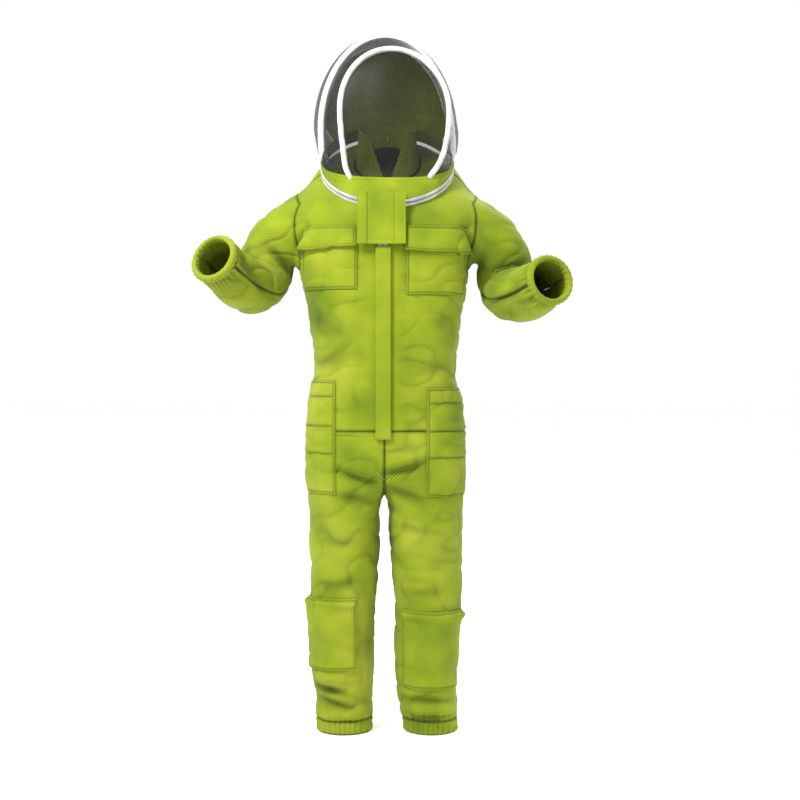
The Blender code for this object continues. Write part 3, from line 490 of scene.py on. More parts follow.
def grid_places(points):
    """The cloth's own coordinates of a grid: the mean lengths along its rows and columns."""
    across = np.linalg.norm(np.diff(points, axis=1), axis=2).mean(axis=0)
    up = np.linalg.norm(np.diff(points, axis=0), axis=2).mean(axis=1)
    u = np.concatenate([[0.0], np.cumsum(across)])
    v = np.concatenate([[0.0], np.cumsum(up)])
    return np.stack(np.meshgrid(u, v), -1)


def cloth_grid(name, points, thickness, made_of, body, slot, stands_for):
    """A piece of cloth from a grid of points on its outer face."""
    points = np.asarray(points, float)
    outer = points
    inner = points - thickness * grid_normals(points)
    rows, columns = points.shape[:2]
    places = grid_places(points).reshape(-1, 2)
    made = shell(lowered(outer), lowered(inner), grid_faces(rows, columns), places)
    obj = piece(name, *made, made_of, body, slot, stands_for=stands_for)
    return obj


def edge_profile(across, up, wide, long, height, round_off=0.003, stitch=0.0055):
    """The height of a sewn patch over the cloth: rounded at its edge, with a stitched line inside that."""
    edge = np.minimum(np.minimum(across, wide - across), np.minimum(up, long - up))
    rise = smooth(0.0, round_off, edge)
    groove = np.exp(-(((edge - stitch) / 0.0014) ** 2))
    puff = smooth(stitch, stitch + 0.012, edge)
    # painted shade: darker colour along the stitched groove and at the patch's rim, where shade would fall
    painted_shade = 0.55 * np.exp(-(((edge - stitch) / 0.0016) ** 2)) + 0.5 * (1 - smooth(0.0, 0.003, edge))
    return height * rise - 0.0016 * groove + 0.0014 * puff, painted_shade


# ---- the cloth of the coverall --------------------------------------------------------------------


def outline(half_width, front, back, squareness, column):
    turn = 2 * math.pi * column / TORSO_COLUMNS
    across = math.sin(turn)
    ahead = math.cos(turn)
    x = half_width * math.copysign(abs(across) ** squareness, across)
    depth = front if ahead > 0 else back
    return x, -depth * math.copysign(abs(ahead) ** squareness, ahead)


def on_zip(radius, rise, turn):
    """A point round the neck zip's axis: turn is 0 at the front centre and grows to the wearer's left."""
    around = math.sin(turn) * Vector((1, 0, 0)) - math.cos(turn) * ZIP_BACK
    return ZIP_CENTRE + radius * around + rise * ZIP_UP


def swollen(ring):
    """Moves a ring's points out, by as much as subdivision will pull them in."""
    share = 3 / (2 + math.cos(2 * math.pi / len(ring)))
    middle = sum(ring, Vector()) / len(ring)
    return [middle + share * (point - middle) for point in ring]


def torso_grid():
    grid = []
    for height, *shape in TORSO_RINGS:
        ring = [outline(*shape, c) for c in range(TORSO_COLUMNS)]
        grid.append([Vector((x, y, height)) for x, y in ring])
    turns = [2 * math.pi * c / TORSO_COLUMNS for c in range(TORSO_COLUMNS)]
    necks = [on_zip(*YOKE_RINGS[0], turn) for turn in turns]
    for share, *shape in SHOULDER_RINGS:
        ring = [outline(*shape, c) for c in range(TORSO_COLUMNS)]
        heights = [ARMPIT + share * (neck.z - ARMPIT) for neck in necks]
        slide = ZIP_CENTRE.x * share
        grid.append([Vector((x + slide, y, z)) for (x, y), z in zip(ring, heights)])
    for radius, rise in YOKE_RINGS:
        grid.append([on_zip(radius, rise, turn) for turn in turns])
    return [swollen(ring) for ring in grid]


def leg_ring(side, height, inner, outer, front, back):
    ring = []
    first = LEG_SIDES // 2 - 2
    for i in range(LEG_SIDES):
        turn = 2 * math.pi * (i - first) / LEG_SIDES
        x = (inner + outer) / 2 + (outer - inner) / 2 * math.cos(turn)
        y = math.sin(turn) * (front if math.sin(turn) < 0 else back)
        ring.append(Vector((side * x, y, height)))
    return swollen(ring)


def spline(points, share):
    """A smooth curve through all the points, and its direction."""
    last = len(points) - 1
    step = min(int(share * last), last - 1)
    t = share * last - step
    before = points[max(step - 1, 0)]
    start = points[step]
    end = points[step + 1]
    after = points[min(step + 2, last)]
    slope_in = (end - before) / (2 if step else 1)
    slope_out = (after - start) / (2 if step < last - 1 else 1)
    place = (
        start * (2 * t**3 - 3 * t**2 + 1)
        + slope_in * (t**3 - 2 * t**2 + t)
        + end * (3 * t**2 - 2 * t**3)
        + slope_out * (t**3 - t**2)
    )
    along = (
        (start - end) * (6 * t**2 - 6 * t)
        + slope_in * (3 * t**2 - 4 * t + 1)
        + slope_out * (3 * t**2 - 2 * t)
    )
    return place, along.normalized()


def sleeve_frames(name):
    """Middle, radius and two cross directions at each ring of a sleeve, from the armhole to the wrist."""
    side = SIDES[name]
    middles = [Vector((side * x, y, z)) for x, y, z, _ in SLEEVES[name]]
    radii = [Vector((radius, 0, 0)) for *_, radius in SLEEVES[name]]
    heading = Vector((side, 0, 0))
    top = Vector((0, 0, 1))
    front = Vector((0, -1, 0))
    frames = []
    for share in SLEEVE_SHARES:
        middle, along = spline(middles, share)
        turn = heading.rotation_difference(along)
        top = turn @ top
        front = turn @ front
        heading = along
        frames.append((middle, spline(radii, share)[0].x, top.copy(), front.copy(), along.copy()))
    return frames


def sleeve_ring(middle, radius, top, front, _along):
    turns = [2 * math.pi * i / SLEEVE_SIDES for i in range(SLEEVE_SIDES)]
    return swollen([middle + radius * (math.sin(turn) * front - math.cos(turn) * top) for turn in turns])


class Garment:
    """The coverall's outer surface as one mesh of quads, each with its panel and its place on the cloth."""

    def __init__(self):
        self.points = []
        self.faces = []
        self.panels = []
        self.places = []

    def ring(self, points):
        start = len(self.points)
        self.points += points
        return list(range(start, len(self.points)))

    def tube(self, rings, panel_of, shift=0.0):
        """Joins rings of point numbers. panel_of names the panel of a row and column."""
        count = len(rings[0])
        ring_points = [[self.points[i] for i in ring] for ring in rings]
        rounds = [sum((ring[i] - ring[i - 1]).length for i in range(count)) for ring in ring_points]
        step = sum(rounds) / len(rounds) / count
        climbed = [shift]
        for below, above in zip(ring_points, ring_points[1:]):
            climbed.append(climbed[-1] + sum((a - b).length for a, b in zip(above, below)) / count)
        for row in range(len(rings) - 1):
            below = rings[row]
            above = rings[row + 1]
            for c in range(count):
                panel = panel_of(row, c)
                if panel:
                    n = (c + 1) % count
                    self.faces.append((below[c], below[n], above[n], above[c]))
                    self.panels.append(panel)
                    low, high = climbed[row : row + 2]
                    left, right = c * step, (c + 1) * step
                    self.places.append(((left, low), (right, low), (right, high), (left, high)))


def turned_about(panel_of, count, side):
    """The same panels where the ring was listed backwards to keep its faces outwards."""
    if side < 0:
        return panel_of
    return lambda row, column: panel_of(row, (count - 2 - column) % count)


def build_garment():
    garment = Garment()
    grid = [garment.ring(row) for row in torso_grid()]
    crotch = garment.ring([Vector((0.0, y, z)) for y, z in CROTCH])
    waist = [row[0] for row in TORSO_RINGS].index(WAIST_SEAM)
    armpit = len(TORSO_RINGS) - 1
    sewn = len(TORSO_RINGS) + len(SHOULDER_RINGS)
    quarter = TORSO_COLUMNS // 4

    def torso_panel(row, column):
        front = column < quarter or column >= 3 * quarter
        side = "left" if column < 2 * quarter else "right"
        if row < waist:
            return f"leg_{'front' if front else 'back'}_{side}"
        if row >= sewn:
            return "neck_yoke"
        from_side = column - quarter if side == "left" else column - 3 * quarter
        if armpit <= row < armpit + ARMHOLE_ROWS and from_side in (-1, 0):
            return None
        return f"bodice_front_{side}" if front else "bodice_back"

    garment.tube(grid, torso_panel)
    for name, side in SIDES.items():
        half = [(side * c) % TORSO_COLUMNS for c in range(2 * quarter + 1)]
        rings = [[grid[0][c] for c in half] + crotch[::-1]]
        rings += [garment.ring(leg_ring(side, *ring)) for ring in LEGS[name]]
        hem = len(rings) - 2

        def leg_panel(row, column, name=name, hem=hem):
            if row == hem:
                return f"hem_{name}"
            front = column < quarter or column >= LEG_SIDES - 2
            return f"leg_{'front' if front else 'back'}_{name}"

        garment.tube([ring[::-side] for ring in rings], turned_about(leg_panel, LEG_SIDES, side))
        columns = [side * quarter % TORSO_COLUMNS, side * (quarter - 1) % TORSO_COLUMNS]
        columns.append(side * (quarter + 1) % TORSO_COLUMNS)
        middle, front, back = columns
        rows = range(armpit, armpit + ARMHOLE_ROWS + 1)
        loop = [grid[armpit][middle]] + [grid[r][front] for r in rows] + [grid[rows[-1]][middle]]
        loop += [grid[r][back] for r in reversed(rows)]
        rings = [loop] + [garment.ring(sleeve_ring(*frame)) for frame in sleeve_frames(name)[1:]]

        def sleeve_panel(_row, column, name=name):
            return f"sleeve_{'front' if column < SLEEVE_SIDES // 2 else 'back'}_{name}"

        garment.tube([ring[::-side] for ring in rings], turned_about(sleeve_panel, SLEEVE_SIDES, side), 2.0)
    return garment


CLOTH = {}  # the finished surface: points, normals, faces, places, panels, painted shade for its seams and creases, and a search tree


def fine_mesh(garment):
    """The cage subdivided, as arrays of points, quads, corner places and panel numbers."""
    names = sorted(set(garment.panels))
    mesh = bpy.data.meshes.new("cage")
    mesh.from_pydata([tuple(point) for point in garment.points], [], garment.faces)
    mesh.polygons.foreach_set("material_index", [names.index(panel) for panel in garment.panels])
    layer = mesh.uv_layers.new(name="cloth")
    layer.data.foreach_set("uv", np.asarray(garment.places, np.float32).ravel())
    obj = bpy.data.objects.new("cage", mesh)
    bpy.context.scene.collection.objects.link(obj)
    finer = obj.modifiers.new("finer", "SUBSURF")
    finer.levels = finer.render_levels = SUBDIVISIONS
    bpy.context.view_layer.update()
    evaluated = obj.evaluated_get(bpy.context.evaluated_depsgraph_get())
    fine = evaluated.to_mesh()
    points = np.empty(len(fine.vertices) * 3)
    fine.vertices.foreach_get("co", points)
    normals = np.empty(len(fine.vertices) * 3)
    fine.vertices.foreach_get("normal", normals)
    corners = np.empty(len(fine.loops), np.int32)
    fine.loops.foreach_get("vertex_index", corners)
    owners = np.empty(len(fine.polygons), np.int32)
    fine.polygons.foreach_get("material_index", owners)
    places = np.empty(len(fine.loops) * 2)
    fine.uv_layers["cloth"].data.foreach_get("uv", places)
    evaluated.to_mesh_clear()
    bpy.data.objects.remove(obj, do_unlink=True)
    return (
        points.reshape(-1, 3),
        normals.reshape(-1, 3),
        corners.reshape(-1, 4),
        places.reshape(-1, 4, 2),
        owners,
        names,
    )


def fold_heights(points, normals):
    """The listed folds, seen along Y on the cloth that faces forwards."""
    flat = points[:, [0, 2]]
    facing = smooth(0.0, 0.45, -normals[:, 1])
    total = np.zeros(len(points))
    for x1, z1, x2, z2, half, height in FOLDS:
        start = np.array((x1, z1))
        along = np.array((x2, z2)) - start
        share = np.clip(((flat - start) @ along) / (along @ along), 0.0, 1.0)
        off = np.linalg.norm(flat - start - share[:, None] * along, axis=1)
        taper = 0.35 + 0.65 * np.sin(math.pi * np.clip(share, 0.04, 0.96))
        total += height * taper * np.exp(-((off / half) ** 2)) * facing
    return total


def sewing_lines(corners, owners):
    """The points where two cut panels meet."""
    ends = np.stack([corners, np.roll(corners, -1, axis=1)], -1).reshape(-1, 2)
    keys = np.sort(ends, axis=1)
    order = np.lexsort((keys[:, 1], keys[:, 0]))
    keys = keys[order]
    who = np.repeat(owners, 4)[order]
    same = (keys[1:] == keys[:-1]).all(axis=1)
    differ = same & (who[1:] != who[:-1])
    return np.unique(keys[:-1][differ])


def distance_to(points, chosen, most=0.02):
    tree = KDTree(len(chosen))
    for number, i in enumerate(chosen):
        tree.insert(points[i], number)
    tree.balance()
    found = np.full(len(points), most)
    low = points[chosen].min(axis=0) - most
    high = points[chosen].max(axis=0) + most
    near = np.nonzero(((points > low) & (points < high)).all(axis=1))[0]
    for i in near:
        found[i] = min(most, tree.find(points[i])[2])
    return found


def gathers(points):
    """Small upright pleats where elastic draws the cloth in, at the wrists and ankles."""
    total = np.zeros(len(points))
    for name, side in SIDES.items():
        middle, _, top, front, along = sleeve_frames(name)[-1]
        away = points - np.array(middle)
        back = -(away @ np.array(along))
        turn = np.arctan2(away @ np.array(front), away @ np.array(top))
        near = (np.linalg.norm(away, axis=1) < 0.10) & (back > -0.01)
        total += near * 0.0022 * (1 - smooth(0.004, 0.045, back)) * np.cos(27 * turn + 2 * np.sin(3 * turn))
        inner, outer = LEGS[name][-1][1:3]
        turn = np.arctan2(points[:, 0] - side * (inner + outer) / 2, -points[:, 1])
        low = (points[:, 0] * side > 0) & (points[:, 2] < 0.2)
        rise = (1 - smooth(0.105, 0.140, points[:, 2])) * 0.8 + 0.2
        total += low * rise * (points[:, 2] < 0.14) * 0.0018 * np.cos(31 * turn + 2 * np.sin(4 * turn))
    return total


def waviness(points):
    """Soft dents and swells, longer across the body than up it, from smooth noise."""
    height, often = WAVE
    scale = np.array((0.75, 0.75, 1.15)) * often
    wide = np.array([noise.noise(Vector(p)) for p in points * scale])
    fine = np.array([noise.noise(Vector(p)) for p in points * scale * 2.9 + 11.0])
    creased = 1 - np.abs(np.array([noise.noise(Vector(p)) for p in points * scale * 1.7 + 31.0])) * 4
    return height * (wide * 1.25 + fine * 0.55) - 0.0040 * np.clip(creased, 0, 1) ** 2


def make_cloth():
    points, normals, corners, places, owners, names = fine_mesh(build_garment())
    folds = settings().fold_depth * fold_heights(points, normals)
    height = waviness(points) + folds
    calm = smooth(0.030, 0.060, np.abs(points[:, 0] - FRONT_ZIP_X))
    calm = np.maximum(calm, smooth(-0.10, -0.05, points[:, 1]))
    calm = np.maximum(calm, 1 - smooth(0.775, 0.81, points[:, 2]))
    round_neck = (points - np.array(ZIP_CENTRE)) @ np.array(ZIP_UP)
    calm *= 1 - smooth(-0.075, -0.040, round_neck)
    rise = (points[:, 2] - 0.078) / 0.03
    calm *= np.clip(rise, 0.0, 1.0) ** 0.5
    height *= calm
    height += gathers(points)
    seams = sewing_lines(corners, owners)
    apart = distance_to(points, seams)
    depth, half = SEAM_GROOVE
    height -= depth * np.exp(-((apart / half) ** 2))
    height += 0.0009 * np.exp(-(((apart - 0.0075) / 0.0028) ** 2))
    # painted shade: the cloth's colour is darkened in the seam grooves and in the creases (where the height
    # dips), where shade would fall
    painted_shade = 0.65 * np.exp(-((apart / 0.0036) ** 2)) + 0.45 * np.clip(-height / 0.010, 0.0, 1.0)
    points = points + height[:, None] * normals
    mesh = bpy.data.meshes.new("surface")
    mesh.from_pydata(points.tolist(), [], corners.tolist())
    mesh.update()
    normals = np.empty(len(points) * 3)
    mesh.vertices.foreach_get("normal", normals)
    bpy.data.meshes.remove(mesh)
    CLOTH.update(points=points, normals=normals.reshape(-1, 3), corners=corners)
    CLOTH.update(places=places, owners=owners, names=names, shade=np.clip(painted_shade, 0.0, 0.85))
    CLOTH["tree"] = BVHTree.FromPolygons(points.tolist(), corners.tolist())


def panel_piece(name):
    """One cut panel with its thickness. Neighbours share normals, so their walls stay parallel."""
    chosen = np.nonzero(CLOTH["owners"] == CLOTH["names"].index(name))[0]
    corners = CLOTH["corners"][chosen]
    numbers, faces = np.unique(corners, return_inverse=True)
    faces = faces.reshape(-1, 4)
    points = CLOTH["points"][numbers]
    normals = CLOTH["normals"][numbers]
    ends = np.stack([faces, np.roll(faces, -1, axis=1)], -1).reshape(-1, 2)
    keys = np.sort(ends, axis=1)
    _, first, uses = np.unique(keys, axis=0, return_index=True, return_counts=True)
    rim = first[uses == 1]
    middles = points[faces].mean(axis=1)[rim // 4]
    inwards = np.zeros_like(points)
    for end in (0, 1):
        np.add.at(inwards, ends[rim, end], middles - points[ends[rim]].mean(axis=1))
    inwards -= (inwards * normals).sum(axis=1, keepdims=True) * normals
    length = np.linalg.norm(inwards, axis=1, keepdims=True)
    points = points + np.where(length > 1e-9, SEAM_GAP * inwards / np.maximum(length, 1e-9), 0.0)
    outer = lowered(points)
    inner = lowered(points - settings().fabric * normals)
    count = len(outer)
    walls = np.stack(
        [ends[rim, 1], ends[rim, 0], ends[rim, 0] + count, ends[rim, 1] + count], -1
    )
    places = CLOTH["places"][chosen]
    start = places[rim // 4, rim % 4]
    end = places[rim // 4, (rim + 1) % 4]
    wall_places = np.stack([end, start, start, end], axis=1)
    every = np.concatenate([faces, faces[:, ::-1] + count, walls])
    all_places = np.concatenate([places, places[:, ::-1], wall_places])
    skins = np.concatenate([outer, inner])
    # painted shade of the seams and creases, the same on both skins
    painted_shade = np.tile(CLOTH["shade"][numbers], 2)
    obj = piece(f"cloth_{name}", skins, every, all_places, "fabric", ROOT, "spacer_fabric", shade=painted_shade)
    crossed = np.cross(points[faces[:, 2]] - points[faces[:, 0]], points[faces[:, 3]] - points[faces[:, 1]])
    area = float(np.linalg.norm(crossed, axis=1).sum() / 2)
    long = float(np.ptp(points[:, 2]))
    long = max(long, area / 0.9 / 1.2, 0.03)
    return obj


# ---- patches sewn on the front --------------------------------------------------------------------


def slice_of_front(side, height, axis_x):
    """The cloth's outline at a height, from near the middle round to the side seam: points and lengths."""
    start = np.array((axis_x, 0.0, height))
    found = []
    for degrees in range(-88, 91, 2):
        turn = math.radians(degrees)
        aim = Vector((side * math.sin(turn), -math.cos(turn), 0.0))
        far = Vector(start) + 0.28 * aim
        hit, _, _, _ = CLOTH["tree"].ray_cast(far, -aim, 0.28)
        if hit is not None:
            found.append(np.array(hit))
    found = np.array(found)
    lengths = np.concatenate([[0.0], np.cumsum(np.linalg.norm(np.diff(found, axis=0), axis=1))])
    return found, lengths


def patch_grid(side, near, far, low, high, axis_x, pitch=0.003, slant=(0.0, 0.0)):
    """A grid of points on the cloth between two distances from the middle, as far round as the side seam.
    slant raises the lower and the upper edge at the far side by these heights."""
    rows = max(4, int((high - low) / pitch))
    columns = None
    grid = []
    for r in range(rows + 1):
        share = r / rows
        height = low + share * (high - low)
        line, lengths = slice_of_front(side, height, axis_x)
        across = side * line[:, 0]
        front = np.nonzero(line[:, 1] < -0.012)[0]
        line, lengths, across = line[front], lengths[front], across[front]
        widest = int(across.argmax())
        start = np.interp(near, across[: widest + 1], lengths[: widest + 1])
        if far < across[widest]:
            end = np.interp(far, across[: widest + 1], lengths[: widest + 1])
        else:
            end = lengths[-1]
        if columns is None:
            columns = max(4, int((end - start) / pitch))
        at = np.linspace(start, end, columns + 1)
        grid.append(np.stack([np.interp(at, lengths, line[:, k]) for k in range(3)], -1))
    grid = np.array(grid)
    lean = np.linspace(0, 1, grid.shape[1])[None, :] * np.linspace(slant[0], slant[1], rows + 1)[:, None]
    grid[:, :, 2] += lean
    return grid[:, ::side]


def settled(grid, lift):
    """The grid put back on the cloth's surface, with the cloth's own normals blurred over the patch."""
    rows, columns = grid.shape[:2]
    points = np.empty_like(grid)
    for r in range(rows):
        for c in range(columns):
            hit, _, _, _ = CLOTH["tree"].find_nearest(Vector(grid[r, c]))
            points[r, c] = hit
    for _ in range(2):
        inside = points.copy()
        inside[1:-1, 1:-1] = (
            points[1:-1, 1:-1] * 2
            + points[:-2, 1:-1]
            + points[2:, 1:-1]
            + points[1:-1, :-2]
            + points[1:-1, 2:]
        ) / 6
        points = inside
    return points + lift * grid_normals(points)


def patch_piece(
    name, grid, lift, height, body, stands_for, extra=None, made_of="fabric", slot="spacer_fabric"
):
    base = settled(grid, lift)
    places = grid_places(base)
    wide, long = places[-1, -1]
    rise, painted_shade = edge_profile(places[..., 0], places[..., 1], wide, long, height)
    if extra is not None:
        more = extra(places[..., 0], places[..., 1], wide, long)
        rise = rise + more
        # painted shade: where the extra detail dips, the colour is darkened too
        painted_shade = painted_shade + np.clip(-more / 0.002, 0.0, 1.0) * 0.5
    normals = grid_normals(base)
    outer = base + rise[..., None] * normals
    rows, columns = base.shape[:2]
    flat = places.reshape(-1, 2)
    made = shell(lowered(outer), lowered(base), grid_faces(rows, columns), flat)
    painted_shade = np.tile(np.clip(painted_shade, 0.0, 0.8).ravel(), 2)
    obj = piece(name, *made, made_of, body, slot, stands_for=stands_for, shade=painted_shade)
    return obj


def knee_welt(across, up, wide, long):
    """The stuffed roll along a knee patch's top edge, with the upright puckers its seam draws."""
    from_top = long - up
    roll = 0.0075 * np.exp(-(((from_top - 0.014) / 0.009) ** 2))
    pucker = 0.0014 * np.sin(across / 0.0085 * 2 * math.pi) * np.exp(-((from_top / 0.030) ** 2))
    ends = smooth(0.0, 0.010, np.minimum(across, wide - across))
    return (roll + pucker) * ends * smooth(0.0, 0.006, from_top)


def hip_seams(across, up, wide, long):
    """Crosswise seams and slack folds of a hip pocket."""
    total = np.zeros_like(across)
    for share in (0.36, 0.60, 0.86):
        total -= 0.0022 * np.exp(-(((up - share * long) / 0.0030) ** 2))
        total += 0.0012 * np.exp(-(((up - share * long - 0.008) / 0.0050) ** 2))
    return total * smooth(0.004, 0.012, np.minimum(across, wide - across))


def pocket_mouth(across, up, wide, long):
    """The slack of a chest pocket: it swells at mid height."""
    middle = np.sin(math.pi * np.clip(across / wide, 0, 1)) * np.sin(math.pi * np.clip(up / long, 0, 1))
    return 0.0035 * middle


def flap_details(across, up, wide, long):
    """A flap's stitched square for its closure, and its lower outer corner, which curls away."""
    box_low, box_high = 0.30 * long, 0.62 * long
    left, right = 0.40 * wide, 0.66 * wide
    inside = np.minimum(np.minimum(across - left, right - across), np.minimum(up - box_low, box_high - up))
    line = -0.0011 * np.exp(-((inside / 0.0012) ** 2))
    hem = -0.0010 * np.exp(-(((up - 0.010) / 0.0012) ** 2))
    curl = 0.008 * (1 - smooth(0.0, 0.7 * long, up))
    return line + hem + curl


# ---- other cloth pieces ---------------------------------------------------------------------------


def cuff_piece(name):
    """The elastic band at the wrist: a rolled, gathered ring, bound to the sleeve's end."""
    middle, _, top, front, along = sleeve_frames(name)[-1]
    profile = (
        (0.0555, 0.000),
        (0.0590, 0.003),
        (0.0606, 0.007),
        (0.0612, 0.011),
        (0.0606, 0.015),
        (0.0590, 0.019),
        (0.0560, 0.0215),
        (0.0520, 0.0222),
        (0.0490, 0.0205),
        (0.0472, 0.016),
        (0.0466, 0.010),
        (0.0470, 0.004),
        (0.0490, 0.000),
    )
    around = 324
    rows = []
    for radius, rise in profile:
        row = []
        for c in range(around):
            turn = 2 * math.pi * c / around
            pleat = math.cos(27 * turn + 2 * math.sin(3 * turn))
            edge = math.sin(math.pi * min(max(rise / CUFF_LENGTH, 0.02), 0.98))
            reach = radius + 0.0011 * pleat * (0.4 + 0.6 * edge) - 0.0006
            drift = 0.0012 * math.sin(5 * turn + 1.0) + 0.0008 * pleat * (rise / CUFF_LENGTH)
            across = math.sin(turn) * front - math.cos(turn) * top
            row.append(middle + reach * across + (0.0006 + rise + drift * 0.6 * edge) * along)
        rows.append(row)
    count = len(rows)
    points = lowered([point for row in rows for point in row])
    r, c = np.meshgrid(np.arange(count), np.arange(around), indexing="ij")
    n = (c + 1) % around
    up = (r + 1) % count
    faces = np.stack((r * around + c, r * around + n, up * around + n, up * around + c), -1).reshape(-1, 4)
    u = c.reshape(-1) * 0.37 / around
    v = r.reshape(-1) * 0.006
    places = np.stack([np.stack((u, v), -1), np.stack((u + 0.37 / around, v), -1)], 1)
    step = np.array((0.0, 0.006))
    places = np.stack([places[:, 0], places[:, 1], places[:, 1] + step, places[:, 0] + step], 1)
    if volume_of(points, faces) < 0:
        faces = faces[:, ::-1]
        places = places[:, ::-1]
    obj = piece(f"gathered_cuff_{name}", points, faces, places, "fabric", ROOT, "spacer_fabric",
                stands_for=f"cuff_{name}")
    return obj


def volume_of(points, faces):
    a, b, c, d = (points[faces[:, k]] for k in range(4))
    first = (a * np.cross(b, c)).sum()
    return first + (a * np.cross(c, d)).sum()


def placket_piece():
    """The fly over the front zip: a folded strip with a channel behind it for the slider."""
    low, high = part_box("placket")
    left, right = low.x, high.x
    out, back = low.y, high.y
    middle = FRONT_ZIP_X
    channel = 0.0070
    roof = -0.1463
    section = [(left, back), (left, out + 0.0042)]
    section += [(left + 0.0008, out + 0.0018), (left + 0.0028, out + 0.0004)]
    columns = 12
    for c in range(columns + 1):
        section.append((left + 0.0045 + (right - left - 0.009) * c / columns, out))
    section += [(right - 0.0028, out + 0.0004), (right - 0.0008, out + 0.0018)]
    section += [(right, out + 0.0042), (right, back)]
    section += [(middle + channel, back), (middle + channel, roof)]
    section += [(middle - channel, roof), (middle - channel, back)]
    lengths = [0.0]
    for a, b in zip(section, section[1:]):
        lengths.append(lengths[-1] + math.dist(a, b))
    count = len(section)
    rows = int((high.z - low.z) / 0.003)
    points, along = [], []
    for r in range(rows + 1):
        z = low.z + (high.z - low.z) * r / rows
        inset = 0.0025 * (1 - min(1.0, min(r, rows - r) / 2.0))
        for x, y in section:
            depth = 0.0
            if y < out + 0.003:
                side_gap = min(x - left, right - x)
                stitch = math.exp(-(((side_gap - 0.0052) / 0.0011) ** 2))
                box = 0.052
                cross = math.exp(-(((z - low.z - box) / 0.0013) ** 2))
                cross += math.exp(-(((z - low.z - 0.006) / 0.0013) ** 2))
                wave = 0.5 + 0.5 * noise.noise(Vector((x * 30, 3.0, z * 22)))
                depth = 0.0007 * stitch + 0.0007 * min(1.0, cross) + 0.0007 * wave + inset
            points.append((x, y + depth, z))
        along.append(z - low.z)
    faces, places = [], []
    for r in range(rows):
        for c in range(count):
            n = (c + 1) % count
            faces.append((r * count + c, r * count + n, (r + 1) * count + n, (r + 1) * count + c))
            u1 = lengths[c]
            u2 = lengths[n] if n else lengths[c] + 0.0045
            places += [(u1, along[r]), (u2, along[r]), (u2, along[r + 1]), (u1, along[r + 1])]
    for r, flip in ((0, True), (rows, False)):
        loop = [r * count + c for c in range(count)]
        faces.append(tuple(loop[::-1] if flip else loop))
        ends = [(points[i][0], points[i][1]) for i in loop]
        places += ends[::-1] if flip else ends
    if volume_of(np.array(points), np.array(faces[: rows * count])) < 0:
        faces = [face[::-1] for face in faces]
        places = flipped(faces, places)
    obj = piece("placket_fly", points, faces, places, "fabric", ROOT, "spacer_fabric", stands_for="placket")
    return obj


def flipped(faces, places):
    """Corner places for faces that have been turned over."""
    turned, start = [], 0
    for face in faces:
        turned += places[start : start + len(face)][::-1]
        start += len(face)
    return turned


def ribbon(name, centre_line, outwards, up, width, thick, made_of, body, slot, closed, stands_for=None):
    """A woven tape along a line of points, as an edge-rounded strip, with its directions at each."""
    line = np.asarray(centre_line, float)
    out = np.asarray(outwards, float)
    rise = np.asarray(up, float)
    half = width / 2
    depth = thick / 2
    section = (
        (-half, -depth * 0.5), (-half, depth * 0.5), (-half * 0.92, depth), (-half * 0.3, depth),
        (half * 0.3, depth), (half * 0.92, depth), (half, depth * 0.5), (half, -depth * 0.5),
        (half * 0.92, -depth), (-half * 0.92, -depth),
    )
    count = len(section)
    points = np.stack([line + a * rise + b * out for a, b in section], 1)
    rows = len(line)
    lengths = np.concatenate([[0.0], np.cumsum(np.linalg.norm(np.diff(line, axis=0), axis=1))])
    faces, places = [], []
    for r in range(rows if closed else rows - 1):
        n = (r + 1) % rows
        u1 = lengths[r]
        u2 = lengths[n] if n else lengths[r] + lengths[1]
        for c in range(count):
            d = (c + 1) % count
            faces.append((r * count + c, r * count + d, n * count + d, n * count + c))
            v1, v2 = section[c][0], section[d][0]
            places += [(u1, v1), (u1, v2), (u2, v2), (u2, v1)]
    if not closed:
        for r, flip in ((0, True), (rows - 1, False)):
            loop = [r * count + c for c in range(count)]
            faces.append(tuple(loop[::-1] if flip else loop))
            ends = [section[c] for c in range(count)]
            places += ends[::-1] if flip else ends
    points = points.reshape(-1, 3)
    quads = np.array([face for face in faces if len(face) == 4])
    if volume_of(points, quads) < 0:
        faces = [face[::-1] for face in faces]
        places = flipped(faces, places)
    obj = piece(name, lowered(points), faces, places, made_of, body, slot, stands_for=stands_for)
    return obj


def teeth(name, places_of, sizes, body, stands_for):
    """Moulded teeth along a zip: a small sloping block at each place (middle, along, out, up)."""
    long, deep, tall = (value / 2 for value in sizes)
    points, faces, uvs = [], [], []
    block = [(-1, -1, -1), (1, -1, -1), (1, -1, 1), (-1, -1, 1)]
    block += [(-0.7, 1, -0.8), (0.7, 1, -0.8), (0.7, 1, 0.8), (-0.7, 1, 0.8)]
    sides = ((0, 1, 2, 3), (5, 4, 7, 6), (4, 0, 3, 7), (1, 5, 6, 2), (4, 5, 1, 0), (3, 2, 6, 7))
    for middle, along, out, up in places_of:
        start = len(points)
        for a, b, c in block:
            place = np.array(middle) + a * long * np.array(along)
            points.append(place + b * deep * np.array(out) + c * tall * np.array(up))
        faces += [tuple(start + i for i in side) for side in sides]
    points = np.array(points)
    if volume_of(points, np.array(faces)) < 0:
        faces = [face[::-1] for face in faces]
    uvs = np.zeros((len(faces) * 4, 2))
    return piece(
        name, lowered(points), faces, uvs, "teeth", body, "white_trim", sharp=30, stands_for=stands_for
    )


# ---- the hood -------------------------------------------------------------------------------------


def hood_turned(point):
    """Turns a point of the hood about the neck, less and less towards the zip."""
    rise = (point - ZIP_CENTRE).dot(ZIP_UP)
    share = min(max((rise - TURN_FROM) / (TURN_DONE - TURN_FROM), 0.0), 1.0)
    turn = Matrix.Rotation(HOOD_TURN * share * share * (3 - 2 * share), 3, "Z")
    foot = Vector((ZIP_CENTRE.x, 0, 0))
    return foot + turn @ (point - foot)


def hoop_x(hoop, height):
    rise = height - hoop["middle"]
    reach = hoop["up"] if rise > 0 else hoop["down"]
    return hoop["half"] * math.sqrt(max(0.0, 1 - (rise / reach) ** 2))


